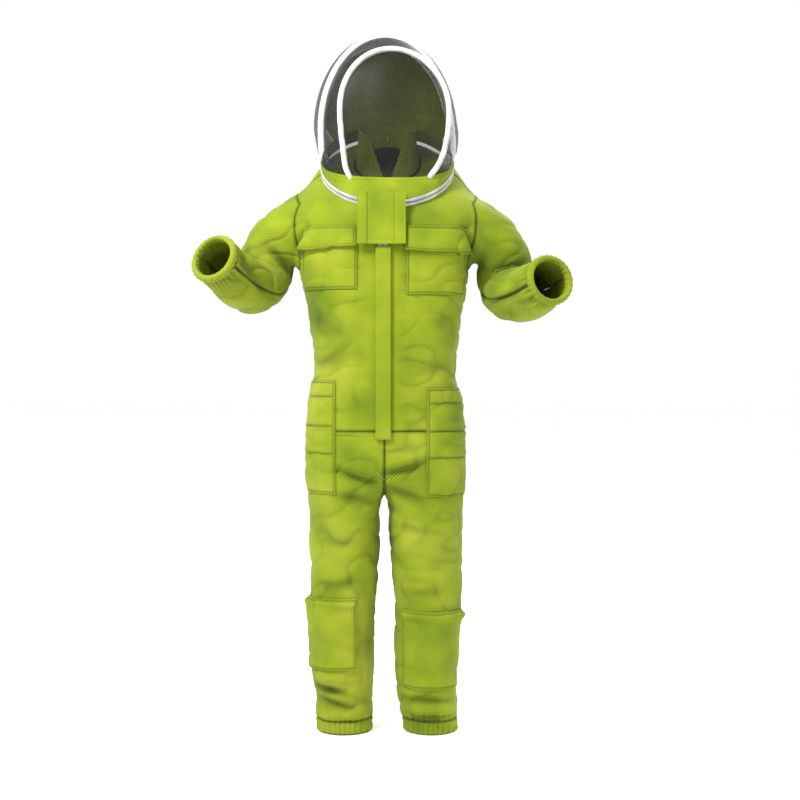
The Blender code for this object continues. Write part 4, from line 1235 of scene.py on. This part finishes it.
def hoop_arc(hoop, share):
    """A point of the arch, from the wearer's right foot (0) over the top (0.5) to the left foot (1)."""
    low = math.asin((hoop["foot"] - hoop["middle"]) / hoop["down"])
    turn = low + (math.pi / 2 - low) * (1 - abs(2 * share - 1))
    height = hoop["middle"] + (hoop["up"] if turn > 0 else hoop["down"]) * math.sin(turn)
    x = math.copysign(hoop["half"] * math.cos(turn), share - 0.5)
    return ZIP_CENTRE.x + x, height


def front_hoop_y(height):
    middle = FRONT_HOOP["middle"]
    return -0.122 + 0.9 * (height - middle) ** 2 + 0.06 * max(0.0, height - middle)


def rear_hoop_y(height):
    return REAR_HOOP_Y - 0.10 * max(0.0, REAR_HOOP["middle"] - height)


def front_hoop_point(share):
    x, height = hoop_arc(FRONT_HOOP, share)
    return Vector((x, front_hoop_y(height), height))


def rear_hoop_point(share):
    x, height = hoop_arc(REAR_HOOP, share)
    return Vector((x, rear_hoop_y(height), height))


def band_top(turn):
    """The upper edge of the hood's green band, at this turn round the neck zip."""
    foot = on_zip(ZIP_RADIUS, 0.0108, turn)
    height = BAND_ENDS + (BAND_HEIGHT - BAND_ENDS) * max(0.0, math.cos(turn)) ** 1.6
    return foot + height * Vector((0, 0.10, 1)).normalized()


def dome_point(turn, rise):
    """A point behind the rear hoop, from the zip (rise 0) to the top of the head (1)."""
    shoulder = 0.30
    around = Vector((-math.cos(turn), math.sin(turn), 0))
    middle = REAR_HOOP["middle"] + DOME_LIFT * math.sin(turn)
    if rise >= shoulder:
        lift = math.pi / 2 * (rise - shoulder) / (1 - shoulder)
        flat = Vector((DOME_HALF * around.x, DOME_DEPTH * around.y, 0)) * math.cos(lift)
        top = REAR_HOOP["middle"] + REAR_HOOP["up"] - 0.004
        height = middle + (top - middle) * math.sin(lift)
        return Vector((ZIP_CENTRE.x, REAR_HOOP_Y, height)) + flat
    low = on_zip(ZIP_RADIUS, 0.0108, math.pi / 2 + (math.pi - turn))
    high = Vector((ZIP_CENTRE.x + DOME_HALF * around.x, REAR_HOOP_Y + DOME_DEPTH * around.y, middle))
    return low.lerp(high, rise / shoulder)


def tucked_in(foot):
    """A point inside the band, below this foot of a hoop, where its end is sewn down."""
    inwards = (Vector((ZIP_CENTRE.x, 0.02, foot.z)) - foot).normalized()
    return foot + 0.010 * inwards - Vector((0, 0, 0.012))


def hoop_piece(name, point_of, radius):
    """A sprung hoop in its white binding: a round bar under a tape that puckers a little along it."""
    sides = 14
    line = [hood_turned(point) for point in extended([point_of(i / 200) for i in range(201)], 10)]
    line = [tucked_in(line[0]), *line, tucked_in(line[-1])]
    for _ in range(60):
        line = [line[0], *[(a + 2 * b + c) / 4 for a, b, c in zip(line, line[1:], line[2:])], line[-1]]
    steps = len(line) - 1
    middle = Vector((ZIP_CENTRE.x, 0, 1.58))
    points, lengths = [], [0.0]
    for i, place in enumerate(line):
        along = (line[min(i + 1, steps)] - line[max(i - 1, 0)]).normalized()
        out = place - middle
        out = (out - out.dot(along) * along).normalized()
        across = along.cross(out)
        if i:
            lengths.append(lengths[-1] + (place - line[i - 1]).length)
        for k in range(sides):
            turn = 2 * math.pi * k / sides
            pucker = 0.00035 * math.sin(lengths[-1] / 0.006 * 2 * math.pi + 2 * math.sin(turn))
            seam = 0.0009 * math.exp(-(((turn - 4.4) / 0.25) ** 2))
            reach = radius + pucker - seam
            points.append(place + reach * (math.cos(turn) * out + math.sin(turn) * across))
    faces = grid_faces(steps + 1, sides, closed=True)
    pitch = 2 * math.pi * radius / sides
    rows = np.repeat(np.arange(steps), sides)
    columns = np.tile(np.arange(sides), steps)
    lengths = np.array(lengths)
    u1, u2 = lengths[rows], lengths[rows + 1]
    v1, v2 = columns * pitch, (columns + 1) * pitch
    corners = (u1, v1), (u1, v2), (u2, v2), (u2, v1)
    places = np.stack([np.stack(corner, -1) for corner in corners], 1)
    points = lowered(points)
    if volume_of(points, faces) < 0:
        faces, places = faces[:, ::-1], places[:, ::-1]
    every = [tuple(face) for face in faces]
    corner_places = places.reshape(-1, 2).tolist()
    first = list(range(sides))
    last = [steps * sides + k for k in range(sides)]
    flip = volume_sign_of_cap(points, first, Vector(points[sides]) - Vector(points[0]))
    every += [tuple(first[::-1] if flip else first), tuple(last if flip else last[::-1])]
    corner_places += [[0.0, 0.0]] * (2 * sides)
    made_of, slot = "binding", "white_trim"
    return piece(f"bound_{name}", points, every, corner_places, made_of, "hood", slot, stands_for=name)


def volume_sign_of_cap(points, loop, inwards):
    """Whether a cap's loop turns towards the solid, and so has to be listed the other way."""
    a, b, c = (Vector(points[loop[k]]) for k in (0, len(loop) // 3, 2 * len(loop) // 3))
    return (b - a).cross(c - a).dot(inwards) > 0


def net_sheet(name, rows, thickness, made_of, body="hood", slot="veil_net", piece_name=None):
    grid = np.array([[tuple(point) for point in row] for row in rows])
    stands = name
    points = np.asarray(grid, float)
    normals = grid_normals(points)
    places = grid_places(points).reshape(-1, 2)
    inner = points - thickness * normals
    made = shell(lowered(points), lowered(inner), grid_faces(*points.shape[:2]), places)
    obj = piece(piece_name or f"cloth_{name}", *made, made_of, body, slot, sharp=60, stands_for=stands)
    return obj


def face_rows():
    inset = 0.0078
    columns = 60
    acrosses = [2 * c / columns - 1 for c in range(columns + 1)]
    middle = FRONT_HOOP["middle"]
    low = FRONT_HOOP["foot"] + 0.004
    high = middle + FRONT_HOOP["up"] - inset - 0.001
    rows = []
    for r in range(61):
        height = low + (high - low) * math.sin(math.pi / 2 * r / 60)
        half = max(hoop_x(FRONT_HOOP, height) - inset, 0.006)
        if height > middle:
            arch = inset * (height - middle) / FRONT_HOOP["up"]
            half = max(hoop_x(FRONT_HOOP, height + arch) - inset, 0.006)
        bow = VEIL_BULGE * min(1.0, half / 0.10)
        y = front_hoop_y(height)
        row = []
        for a in acrosses:
            drape = 0.0016 * noise.noise(Vector((a * 2.5, 5.0, height * 16)))
            row.append(Vector((ZIP_CENTRE.x + half * a, y - bow * (1 - a**2) - drape, height)))
        rows.append(row)
    rows.insert(0, [band_top(math.radians(36) * a) + Vector((0, 0, 0.0012)) for a in acrosses])
    return [[hood_turned(point) for point in row] for row in rows]


def foot_under(point, side):
    """The point of the hood's band, or of the zip behind it, straight under a point of a hoop."""
    ahead = -point.y / (ZIP_RADIUS * math.cos(ZIP_TILT))
    turn = side * math.acos(min(max(ahead, -1.0), 1.0))
    return band_top(turn) + Vector((0, 0, 0.0015))


def extended(line, steps):
    """A line over the head, carried down at both ends to the hood's band."""
    down = []
    for point, side in ((line[0], -1), (line[-1], 1)):
        foot = foot_under(point, side)
        down.append([foot.lerp(point, k / steps) for k in range(steps)])
    return down[0] + line + down[1][::-1]


def crown_rows():
    rows = []
    for r in range(33):
        share = 0.06 + 0.84 * r / 32
        row = []
        for c in range(121):
            along = 0.008 + 0.984 * c / 120
            swell = 0.003 * math.sin(math.pi * share) * math.sin(math.pi * along)
            swell += 0.0015 * noise.noise(Vector((along * 9, share * 3, 7.0))) * math.sin(math.pi * share)
            place = front_hoop_point(along).lerp(rear_hoop_point(along), share)
            above = max(0.0, place.z - FRONT_HOOP["middle"])
            outwards = Vector((place.x - ZIP_CENTRE.x, 0, above)).normalized()
            row.append(place + swell * outwards)
        rows.append([hood_turned(point) for point in extended(row, 10)])
    return rows


def resampled(line, count):
    points = np.array([tuple(point) for point in line])
    lengths = np.concatenate([[0.0], np.cumsum(np.linalg.norm(np.diff(points, axis=0), axis=1))])
    at = np.linspace(0, lengths[-1], count)
    return [Vector([np.interp(value, lengths, points[:, k]) for k in range(3)]) for value in at]


def back_panel_rows():
    """The green back of the hood, from the lowest row that lies behind the net to the top of the head."""
    front = STRIP[1] + 0.0015
    columns = 121
    rows = []
    for r in range(81):
        rise = 0.985 * r / 80
        line = [dome_point(math.pi * c / 240, rise) for c in range(241)]
        behind = [point for point in line if point.y >= front]
        if len(behind) >= 3:
            rows.append(resampled(behind, columns))
    made = []
    for r, row in enumerate(rows):
        made.append([])
        for c, point in enumerate(row):
            share = c / (columns - 1)
            dent = 0.0035 * noise.noise(Vector((share * 7, r * 0.05, 2.0))) * math.sin(math.pi * share)
            shift = Vector((0, dent - 0.001 * math.exp(-(((share - 0.5) * 90) ** 2)), 0))
            made[-1].append(hood_turned(point + shift))
    return [row[::-1] for row in made]


def rear_net_sides():
    """The two runs of black net behind the rear hoop's sides, joined over the top into one arch."""
    low, high = STRIP
    rows = []
    steps = 25
    for k in range(steps):
        depth = low + (high - low) * k / (steps - 1)
        arch = []
        for side in (0, 1):
            points = []
            for r in range(121):
                rise = 0.985 * r / 120
                line = [dome_point(math.pi / 2 * c / 90, rise) for c in range(91)]
                ys = [point.y for point in line]
                if max(ys) < depth or min(ys) > depth:
                    continue
                points.append((rise, [np.interp(depth, ys, [p[k2] for p in line]) for k2 in range(3)]))
            mirrored = []
            for _, (x, y, z) in points:
                mirrored.append(Vector((x if side == 0 else 2 * ZIP_CENTRE.x - x, y, z)))
            arch.append(mirrored)
        whole = arch[0] + arch[1][::-1]
        swell = NET_SWELL * (1 - k / (steps - 1)) ** 2
        for point in whole:
            away = Vector((point.x - ZIP_CENTRE.x, 0, max(0.0, point.z - REAR_HOOP["middle"])))
            point += swell * away.normalized()
        rows.append([hood_turned(point) for point in resampled(whole, 181)])
    return rows


def collar_rows(side):
    foot_from, (top_from) = COLLAR["split"]
    gap = math.radians(0.4)
    rows = []
    columns = 64
    for r in range(25):
        share = r / 24
        row = []
        for c in range(columns + 1):
            t = c / columns
            low = foot_from + t * (math.pi - gap - foot_from)
            high = top_from + t * (math.pi - gap - top_from)
            base = on_zip(COLLAR["foot"], 0.010, side * low)
            rise = COLLAR["height"] + 0.02 * math.cos(high)
            upper = on_zip(COLLAR["top"], 0.010, side * high) + Vector((0, 0.010, rise))
            place = base.lerp(upper, share)
            away = (place - ZIP_CENTRE).normalized()
            wave = 0.0018 * noise.noise(Vector((t * 9, share * 2.5, side * 4.0)))
            row.append(place + wave * away)
        rows.append(row[::side])
    return rows


def band_rows():
    rows = []
    for r in range(19):
        share = r / 18
        row = []
        for c in range(133):
            turn = math.radians(-88 + 176 * c / 132)
            foot = on_zip(ZIP_RADIUS, 0.0108, turn)
            place = foot.lerp(band_top(turn), share)
            out = Vector((place.x - ZIP_CENTRE.x, place.y, 0)).normalized()
            wave = 0.0016 * noise.noise(Vector((c * 0.10, share * 2.0, 1.0)))
            crease = 0.0012 * math.sin(math.pi * share) - 0.0022 * math.exp(-(((share - 0.80) / 0.035) ** 2))
            row.append(hood_turned(place + (wave + crease) * out))
        rows.append(row)
    return rows


def flap_point(x, height, depth=0.0):
    low, high = NECK_FLAP_SPAN[2:]
    share = (height - low) / (high - low)
    y = NECK_FLAP_FOOT_Y + share * (NECK_FLAP_TOP_Y - NECK_FLAP_FOOT_Y) - depth
    return Vector((x, y, height))


def neck_flap_grid():
    """The flap's outer face: two sewn-on border strips, a hem, and soft slack between them."""
    left, right, low, high = NECK_FLAP_SPAN
    columns, rows = 66, 70
    grid = []
    for r in range(rows + 1):
        height = low + (high - low) * r / rows
        row = []
        for c in range(columns + 1):
            x = left + (right - left) * c / columns
            wave = 0.0012 * noise.noise(Vector((x * 26, 9.0, height * 20)))
            border = min(x - left, right - x)
            strip = 0.0016 * (1 - float(smooth(0.0235, 0.0250, border)))
            stitch = 0.0014 * sum(math.exp(-(((border - at) / 0.0012) ** 2)) for at in (0.0045, 0.0265))
            hem = 0.0014 * math.exp(-(((height - low - 0.010) / 0.0012) ** 2))
            row.append(tuple(flap_point(x, height, settings().flap_cloth + wave + strip - stitch - hem)))
        grid.append(row)
    return np.array(grid)


# ---- zip sliders ----------------------------------------------------------------------------------


def deselect():
    for obj in bpy.context.view_layer.objects:
        obj.select_set(False)


def start_block(name, low, high):
    """A new box between two corners in the suit's frame, selected alone."""
    deselect()
    middle = (Vector(low) + Vector(high)) / 2
    bpy.ops.mesh.primitive_cube_add(size=1.0, location=middle)
    obj = bpy.context.object
    obj.name = name
    obj.data.name = name
    obj.scale = Vector(high) - Vector(low)
    bpy.ops.object.transform_apply(location=True, rotation=True, scale=True)
    return obj


def select_faces(obj, test):
    """In edit mode, selects the faces whose middle and normal pass the test."""
    bpy.ops.mesh.select_mode(type="FACE")
    bpy.ops.mesh.select_all(action="DESELECT")
    mesh = bmesh.from_edit_mesh(obj.data)
    for face in mesh.faces:
        if test(face.calc_center_median(), face.normal):
            face.select_set(True)
    mesh.select_flush(True)
    bmesh.update_edit_mesh(obj.data)


def apply_bevel(obj, width, segments=2):
    bevel = obj.modifiers.new("edges", "BEVEL")
    bevel.width = width
    bevel.segments = segments
    bevel.harden_normals = False
    bpy.ops.object.modifier_apply(modifier=bevel.name)


def finish_metal(obj, turn, body, node):
    """Turns the piece into its place, leaves its object at the origin, and gives it its metal."""
    if turn is not None:
        obj.data.transform(turn)
    bpy.ops.object.shade_smooth_by_angle(angle=math.radians(35))
    obj.data.materials.clear()
    obj.data.materials.append(material("metal"))
    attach(obj, body)
    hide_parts(node)


def model_slider(name, low, high, turn, body, node, puller_up):
    """A slider's body: waisted sides, a flat inset on its outer face, and bevelled edges. -Y is outwards."""
    obj = start_block(name, low, high)
    wide = high[0] - low[0]
    tall = high[2] - low[2]
    deep = high[1] - low[1]
    bpy.ops.object.mode_set(mode="EDIT")
    bpy.ops.mesh.subdivide(number_cuts=3)
    mesh = bmesh.from_edit_mesh(obj.data)
    middle = (Vector(low) + Vector(high)) / 2
    for vert in mesh.verts:
        rise = (vert.co.z - middle.z) / (tall / 2)
        pull = 1 - 0.22 * (1 - abs(rise)) if puller_up else 1 - 0.16 * (rise < 0) * abs(rise)
        vert.co.x = middle.x + (vert.co.x - middle.x) * pull
    bmesh.update_edit_mesh(obj.data)
    select_faces(
        obj,
        lambda place, normal: normal.y < -0.9
        and abs(place.x - middle.x) < wide * 0.26
        and abs(place.z - middle.z) < tall * 0.40,
    )
    bpy.ops.mesh.inset(thickness=deep * 0.12, depth=0)
    bpy.ops.object.mode_set(mode="OBJECT")
    apply_bevel(obj, deep * 0.10, 2)
    finish_metal(obj, turn, body, node)
    return obj


def model_puller(name, low, high, body, node):
    """A flat pull tab with a rounded foot and a sunk face."""
    obj = start_block(name, low, high)
    wide = high[0] - low[0]
    deep = high[1] - low[1]
    middle = (Vector(low) + Vector(high)) / 2
    bpy.ops.object.mode_set(mode="EDIT")
    bpy.ops.mesh.subdivide(number_cuts=3)
    mesh = bmesh.from_edit_mesh(obj.data)
    for vert in mesh.verts:
        if vert.co.z < low[2] + 1e-6:
            share = abs(vert.co.x - middle.x) / (wide / 2)
            vert.co.z += wide * 0.30 * share**2
    bmesh.update_edit_mesh(obj.data)
    select_faces(
        obj,
        lambda place, normal: normal.y < -0.9 and abs(place.x - middle.x) < wide * 0.30,
    )
    bpy.ops.mesh.inset(thickness=wide * 0.08, depth=-deep * 0.25)
    bpy.ops.object.mode_set(mode="OBJECT")
    apply_bevel(obj, deep * 0.16, 2)
    finish_metal(obj, None, body, node)
    return obj


# ---- the tools ------------------------------------------------------------------------------------


class BeeSuitSettings(bpy.types.PropertyGroup):
    green: StringProperty(name="Fabric", description="Middle green of the spacer fabric", default="#88980F")
    green_light: StringProperty(name="Fabric, light", description="Its lightest patches", default="#9FA82C")
    green_shade: StringProperty(name="Fabric, shade", description="Its darkest patches", default="#688006")
    # the colour of the mesh's holes, and also the colour that the painted shade in seams, creases and patch rims
    # darkens towards
    green_holes_and_painted_shade: StringProperty(
        name="Fabric, holes", description="Colour in the mesh's holes", default="#263C02"
    )
    mesh_pitch: FloatProperty(
        name="Mesh pitch",
        description="Distance between the fabric's holes, drawn coarse enough to show from across a room",
        default=0.0070,
        min=0.002,
        unit="LENGTH",
    )
    fold_depth: FloatProperty(
        name="Folds", description="How deep the placed folds are", default=1.7, subtype="FACTOR"
    )
    fabric: FloatProperty(name="Fabric", description="Thickness of the cloth", default=0.0044, unit="LENGTH")
    flap_cloth: FloatProperty(
        name="Flap", description="Thickness of the neck flap", default=0.003, unit="LENGTH"
    )
    rear_hoop_radius: FloatProperty(
        name="Rear hoop", description="Radius in its wider binding", default=0.0105, unit="LENGTH"
    )
    hoop_radius: FloatProperty(
        name="Hoop", description="Radius in its binding", default=0.0068, unit="LENGTH"
    )
    teeth_pitch: FloatProperty(
        name="Teeth", description="Distance between zip teeth", default=0.003, unit="LENGTH"
    )
    lens: FloatProperty(name="Lens", description="Focal length of the camera in millimetres", default=64.8)


class BEESUIT_OT_coverall(bpy.types.Operator):
    """Makes the coverall's cut panels as folded, sewn cloth"""

    bl_idname = "beesuit.coverall"
    bl_label = "Coverall"

    def execute(self, context):
        make_cloth()
        for name in CLOTH["names"]:
            panel_piece(name)
        return {"FINISHED"}


class BEESUIT_OT_cuffs(bpy.types.Operator):
    """Makes the two gathered elastic cuffs"""

    bl_idname = "beesuit.cuffs"
    bl_label = "Cuffs"

    def execute(self, context):
        for name in SIDES:
            cuff_piece(name)
        return {"FINISHED"}


class BEESUIT_OT_pockets(bpy.types.Operator):
    """Makes the chest and hip pockets, the pocket flaps and the knee patches"""

    bl_idname = "beesuit.pockets"
    bl_label = "Pockets and patches"

    def execute(self, context):
        for name, side in SIDES.items():
            near, far, low, high = CHEST_POCKETS[name]
            grid = patch_grid(side, near, far, low, high, 0.0)
            node = f"chest_pocket_{name}"
            patch_piece(f"sewn_{node}", grid, SEWN_LIFT, POCKET_CLOTH, ROOT, node, pocket_mouth)
            near, far, low, high = CHEST_FLAPS[name]
            grid = patch_grid(side, near, far, low, high, 0.0, slant=(-0.006, -0.002))
            node = f"chest_flap_{name}"
            patch_piece(f"sewn_{node}", grid, FLAP_LIFT, FLAP_CLOTH, node, node, flap_details)
            near, low, high = HIP_POCKETS[name]
            grid = patch_grid(side, near, PAST_SIDE_SEAM, low, high, 0.0)
            node = f"hip_pocket_{name}"
            patch_piece(f"sewn_{node}", grid, SEWN_LIFT, HIP_CLOTH, ROOT, node, hip_seams)
            near, low, high = KNEE_PATCHES[name]
            middle = side * KNEE_MIDDLE
            grid = patch_grid(side, near, PAST_SIDE_SEAM, low, high, middle, slant=(-0.006, -0.006))
            node = f"knee_patch_{name}"
            patch_piece(f"padded_{node}", grid, SEWN_LIFT, KNEE_PAD, ROOT, node, knee_welt)
        return {"FINISHED"}


class BEESUIT_OT_front_closing(bpy.types.Operator):
    """Makes the front zip's tapes and teeth, the placket over them and the loop tapes beside them"""

    bl_idname = "beesuit.front_closing"
    bl_label = "Front closing"

    def execute(self, context):
        placket_piece()
        for name in SIDES:
            low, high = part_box(f"front_zip_tape_{name}")
            heights = np.arange(low.z, high.z, 0.004)
            line = [((low.x + high.x) / 2, (low.y + high.y) / 2, z + SHOULDER_HEIGHT) for z in heights]
            count = len(line)
            ribbon(f"woven_front_tape_{name}", line, [(0, -1, 0)] * count, [(1, 0, 0)] * count, high.x - low.x,
                   high.y - low.y, "tape", ROOT, "white_trim", False, f"front_zip_tape_{name}")
            low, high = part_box(f"chest_loop_tape_{name}")
            grid = patch_grid(SIDES[name], *HOOK_TAPES[name], *HOOK_RISE, 0.0, pitch=0.002)
            patch_piece(f"loop_tape_{name}", grid, 0.0006, 0.0012, ROOT, f"chest_loop_tape_{name}",
                        made_of="hook_tape", slot="white_trim")
        low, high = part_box("front_zip_teeth")
        pitch = settings().teeth_pitch
        places = []
        for number in range(int((high.z - low.z) / pitch)):
            z = low.z + (number + 0.5) * pitch + SHOULDER_HEIGHT
            x = FRONT_ZIP_X + (0.0004 if number % 2 else -0.0004)
            places.append(((x, (low.y + high.y) / 2, z), (1, 0, 0), (0, -1, 0), (0, 0, 1)))
        teeth("moulded_front_teeth", places, (0.0040, high.y - low.y, pitch * 0.62), ROOT, "front_zip_teeth")
        return {"FINISHED"}


class BEESUIT_OT_neck_zip(bpy.types.Operator):
    """Makes both halves of the zip round the neck"""

    bl_idname = "beesuit.neck_zip"
    bl_label = "Neck zip"

    def execute(self, context):
        pitch = settings().teeth_pitch
        for half, sign, body in (("lower", -1, ROOT), ("upper", 1, "hood")):
            turns = [2 * math.pi * i / 240 for i in range(240)]
            rise = sign * 0.0061
            line = [on_zip(0.1658, rise, turn) for turn in turns]
            outs = [(on_zip(1.0, 0.0, turn) - ZIP_CENTRE).normalized() for turn in turns]
            ribbon(f"woven_neck_tape_{half}", line, outs, [tuple(ZIP_UP)] * 240, 0.0078, 0.0012, "tape", body,
                   "white_trim", True, f"neck_zip_tape_{half}")
            count = int(2 * math.pi * ZIP_RADIUS / pitch)
            places = []
            for i in range(count):
                turn = 2 * math.pi * (i + (0.5 if sign > 0 else 0.0)) / count
                out = (on_zip(1.0, 0.0, turn) - ZIP_CENTRE).normalized()
                middle = on_zip(0.16575, sign * 0.00105, turn)
                places.append((middle, ZIP_UP.cross(out), out, ZIP_UP))
            sizes = (pitch * 0.62, 0.0022, 0.0016)
            teeth(f"moulded_neck_teeth_{half}", places, sizes, body, f"neck_zip_teeth_{half}")
        turns = [FACING_FROM + (2 * math.pi - 2 * FACING_FROM) * i / 160 for i in range(161)]
        radius, rise, width, thick = FACING
        line = [on_zip(radius, rise, turn) for turn in turns]
        outs = [(on_zip(1.0, 0.0, turn) - ZIP_CENTRE).normalized() for turn in turns]
        ribbon("zip_facing", line, outs, [tuple(ZIP_UP)] * 161, width, thick, "fabric", "hood",
               "spacer_fabric", False, "hood_collar_band")
        return {"FINISHED"}


class BEESUIT_OT_sliders(bpy.types.Operator):
    """Models the three zip sliders and their pull tabs"""

    bl_idname = "beesuit.sliders"
    bl_label = "Sliders"

    def execute(self, context):
        low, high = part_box("front_zip_slider")
        model_slider("cast_front_slider", low, high, None, "front_slider", "front_zip_slider", True)
        low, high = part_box("front_zip_puller")
        model_puller("cast_front_puller", low, high, "front_puller", "front_zip_puller")
        for name, side in SIDES.items():
            place = on_zip(ZIP_RADIUS, 0.0, side * math.radians(4))
            outwards = (place - ZIP_CENTRE).normalized()
            across = outwards.cross(ZIP_UP)
            axes = Matrix((-across, -outwards, ZIP_UP)).transposed().to_4x4()
            turn = Matrix.Translation(place - Vector((0, 0, SHOULDER_HEIGHT))) @ axes
            corners = ((-0.0044, -0.0062, -0.0049), (0.0044, -0.0024, 0.0049))
            model_slider(f"cast_neck_slider_{name}", *corners, turn, f"neck_slider_{name}", f"neck_zip_slider_{name}", True)
            low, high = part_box(f"neck_zip_puller_{name}")
            model_puller(f"cast_neck_puller_{name}", low, high, f"neck_puller_{name}", f"neck_zip_puller_{name}")
        return {"FINISHED"}


class BEESUIT_OT_collar(bpy.types.Operator):
    """Makes the stand collar inside the hood"""

    bl_idname = "beesuit.collar"
    bl_label = "Stand collar"

    def execute(self, context):
        for name, side in SIDES.items():
            net_sheet(f"stand_collar_{name}", collar_rows(side), 0.0028, "fabric", ROOT, "spacer_fabric")
        return {"FINISHED"}


class BEESUIT_OT_hood(bpy.types.Operator):
    """Makes the hood: hoops, nets, green band and green back"""

    bl_idname = "beesuit.hood"
    bl_label = "Hood"

    def execute(self, context):
        hoop_piece("hoop_front", front_hoop_point, settings().hoop_radius)
        hoop_piece("hoop_rear", rear_hoop_point, settings().rear_hoop_radius)
        net_sheet("veil_face_net", face_rows(), NET_CLOTH, "face_net")
        net_sheet("veil_crown_net", crown_rows(), NET_CLOTH, "crown_net")
        net_sheet("veil_rear_net", rear_net_sides(), NET_CLOTH, "crown_net")
        net_sheet("hood_collar_band", band_rows(), HOOD_CLOTH, "fabric", slot="spacer_fabric")
        net_sheet("hood_back_panel", back_panel_rows(), HOOD_CLOTH, "fabric", slot="spacer_fabric")
        return {"FINISHED"}


class BEESUIT_OT_neck_flap(bpy.types.Operator):
    """Makes the square flap over the meeting of the zips, and its hook tapes"""

    bl_idname = "beesuit.neck_flap"
    bl_label = "Neck flap"

    def execute(self, context):
        green = settings().flap_cloth
        cloth_grid("sewn_neck_flap", neck_flap_grid(), green, "fabric", "neck_flap", "spacer_fabric", "neck_flap")
        for name, side in SIDES.items():
            near, far = HOOK_TAPES[name]
            xs = np.linspace(*sorted((side * near, side * far)), 10)
            zs = np.linspace(*HOOK_RISE, 8)
            grid = [[tuple(flap_point(x, z, -0.0004)) for x in xs] for z in zs]
            node = f"neck_flap_hook_tape_{name}"
            cloth_grid(f"hook_tape_{name}", grid, 0.0010, "hook_tape", "neck_flap", "white_trim", node)
        return {"FINISHED"}


class BEESUIT_OT_stage(bpy.types.Operator):
    """Sets up the pale floor, the soft lights and the camera"""

    bl_idname = "beesuit.stage"
    bl_label = "Stage"

    def execute(self, context):
        floor_z = CAD_BOX[0][2] - FLOOR_GAP
        mesh = bpy.data.meshes.new("floor")
        ends = (-1, -1), (1, -1), (1, 1), (-1, 1)
        rows = [(FLOOR_REACH * x, FLOOR_REACH * y, floor_z) for x, y in ends]
        faces = [(0, 1, 2, 3)]
        mesh.from_pydata(rows, [], faces)
        mesh.shade_smooth()
        floor = bpy.data.objects.new("floor", mesh)
        context.scene.collection.objects.link(floor)
        paper, _ = new_material("studio_paper", 0.9, 0.2)
        place = add(paper, "ShaderNodeTexCoord")
        grain = add(paper, NOISE, {"Scale": 1.5}, {"Vector": (place, "Object")})
        whites = (0.3, linear("#FEFEFD")), (0.7, linear("#FFFFFE"))
        tone = add(paper, RAMP, links={"Fac": (grain, "Fac")}, stops=whites)
        join(paper, tone, "Color", paper.node_tree.nodes["Principled BSDF"], "Base Color")
        mesh.materials.append(paper)
        world = bpy.data.worlds.new("studio")
        context.scene.world = world
        world.use_nodes = True
        world.node_tree.nodes["Background"].inputs["Color"].default_value = linear("#FFFFFF")
        world.node_tree.nodes["Background"].inputs["Strength"].default_value = 1.0
        for name, place, aim, size, power in LAMPS:
            light = bpy.data.lights.new(name, "AREA")
            light.size = size
            light.energy = power
            lamp = bpy.data.objects.new(name, light)
            lamp.location = place
            lamp.rotation_euler = (Vector(aim) - Vector(place)).to_track_quat("-Z", "Y").to_euler()
            context.scene.collection.objects.link(lamp)
        camera = bpy.data.objects.new("camera", bpy.data.cameras.new("camera"))
        camera.data.lens = settings().lens
        camera.data.sensor_width = 36
        camera.location = CAMERA_PLACE
        aim = Vector(CAMERA_AIM)
        camera.rotation_euler = (aim - camera.location).to_track_quat("-Z", "Y").to_euler()
        context.scene.collection.objects.link(camera)
        context.scene.camera = camera
        context.scene.view_settings.view_transform = "Standard"
        return {"FINISHED"}


class BEESUIT_PT_tools(bpy.types.Panel):
    """Lists the suit's tools and sizes"""

    bl_idname = "BEESUIT_PT_tools"
    bl_label = "Bee Suit"
    bl_space_type = "VIEW_3D"
    bl_region_type = "UI"
    bl_category = "Bee Suit"

    def draw(self, context):
        for name in BeeSuitSettings.__annotations__:
            self.layout.prop(settings(), name)
        for tool in TOOLS:
            self.layout.operator(tool.bl_idname)


TOOLS = (
    BEESUIT_OT_stage,
    BEESUIT_OT_coverall,
    BEESUIT_OT_cuffs,
    BEESUIT_OT_pockets,
    BEESUIT_OT_front_closing,
    BEESUIT_OT_neck_zip,
    BEESUIT_OT_sliders,
    BEESUIT_OT_collar,
    BEESUIT_OT_hood,
    BEESUIT_OT_neck_flap,
)
CLASSES = (BeeSuitSettings, *TOOLS, BEESUIT_PT_tools)


def register():
    for made in CLASSES:
        bpy.utils.register_class(made)
    bpy.types.Scene.bee_suit = PointerProperty(type=BeeSuitSettings)


def unregister():
    del bpy.types.Scene.bee_suit
    for made in reversed(CLASSES):
        bpy.utils.unregister_class(made)


def main():
    register()
    for tool in TOOLS:
        group, name = tool.bl_idname.split(".")
        getattr(getattr(bpy.ops, group), name)()


if __name__ == "__main__":
    main()
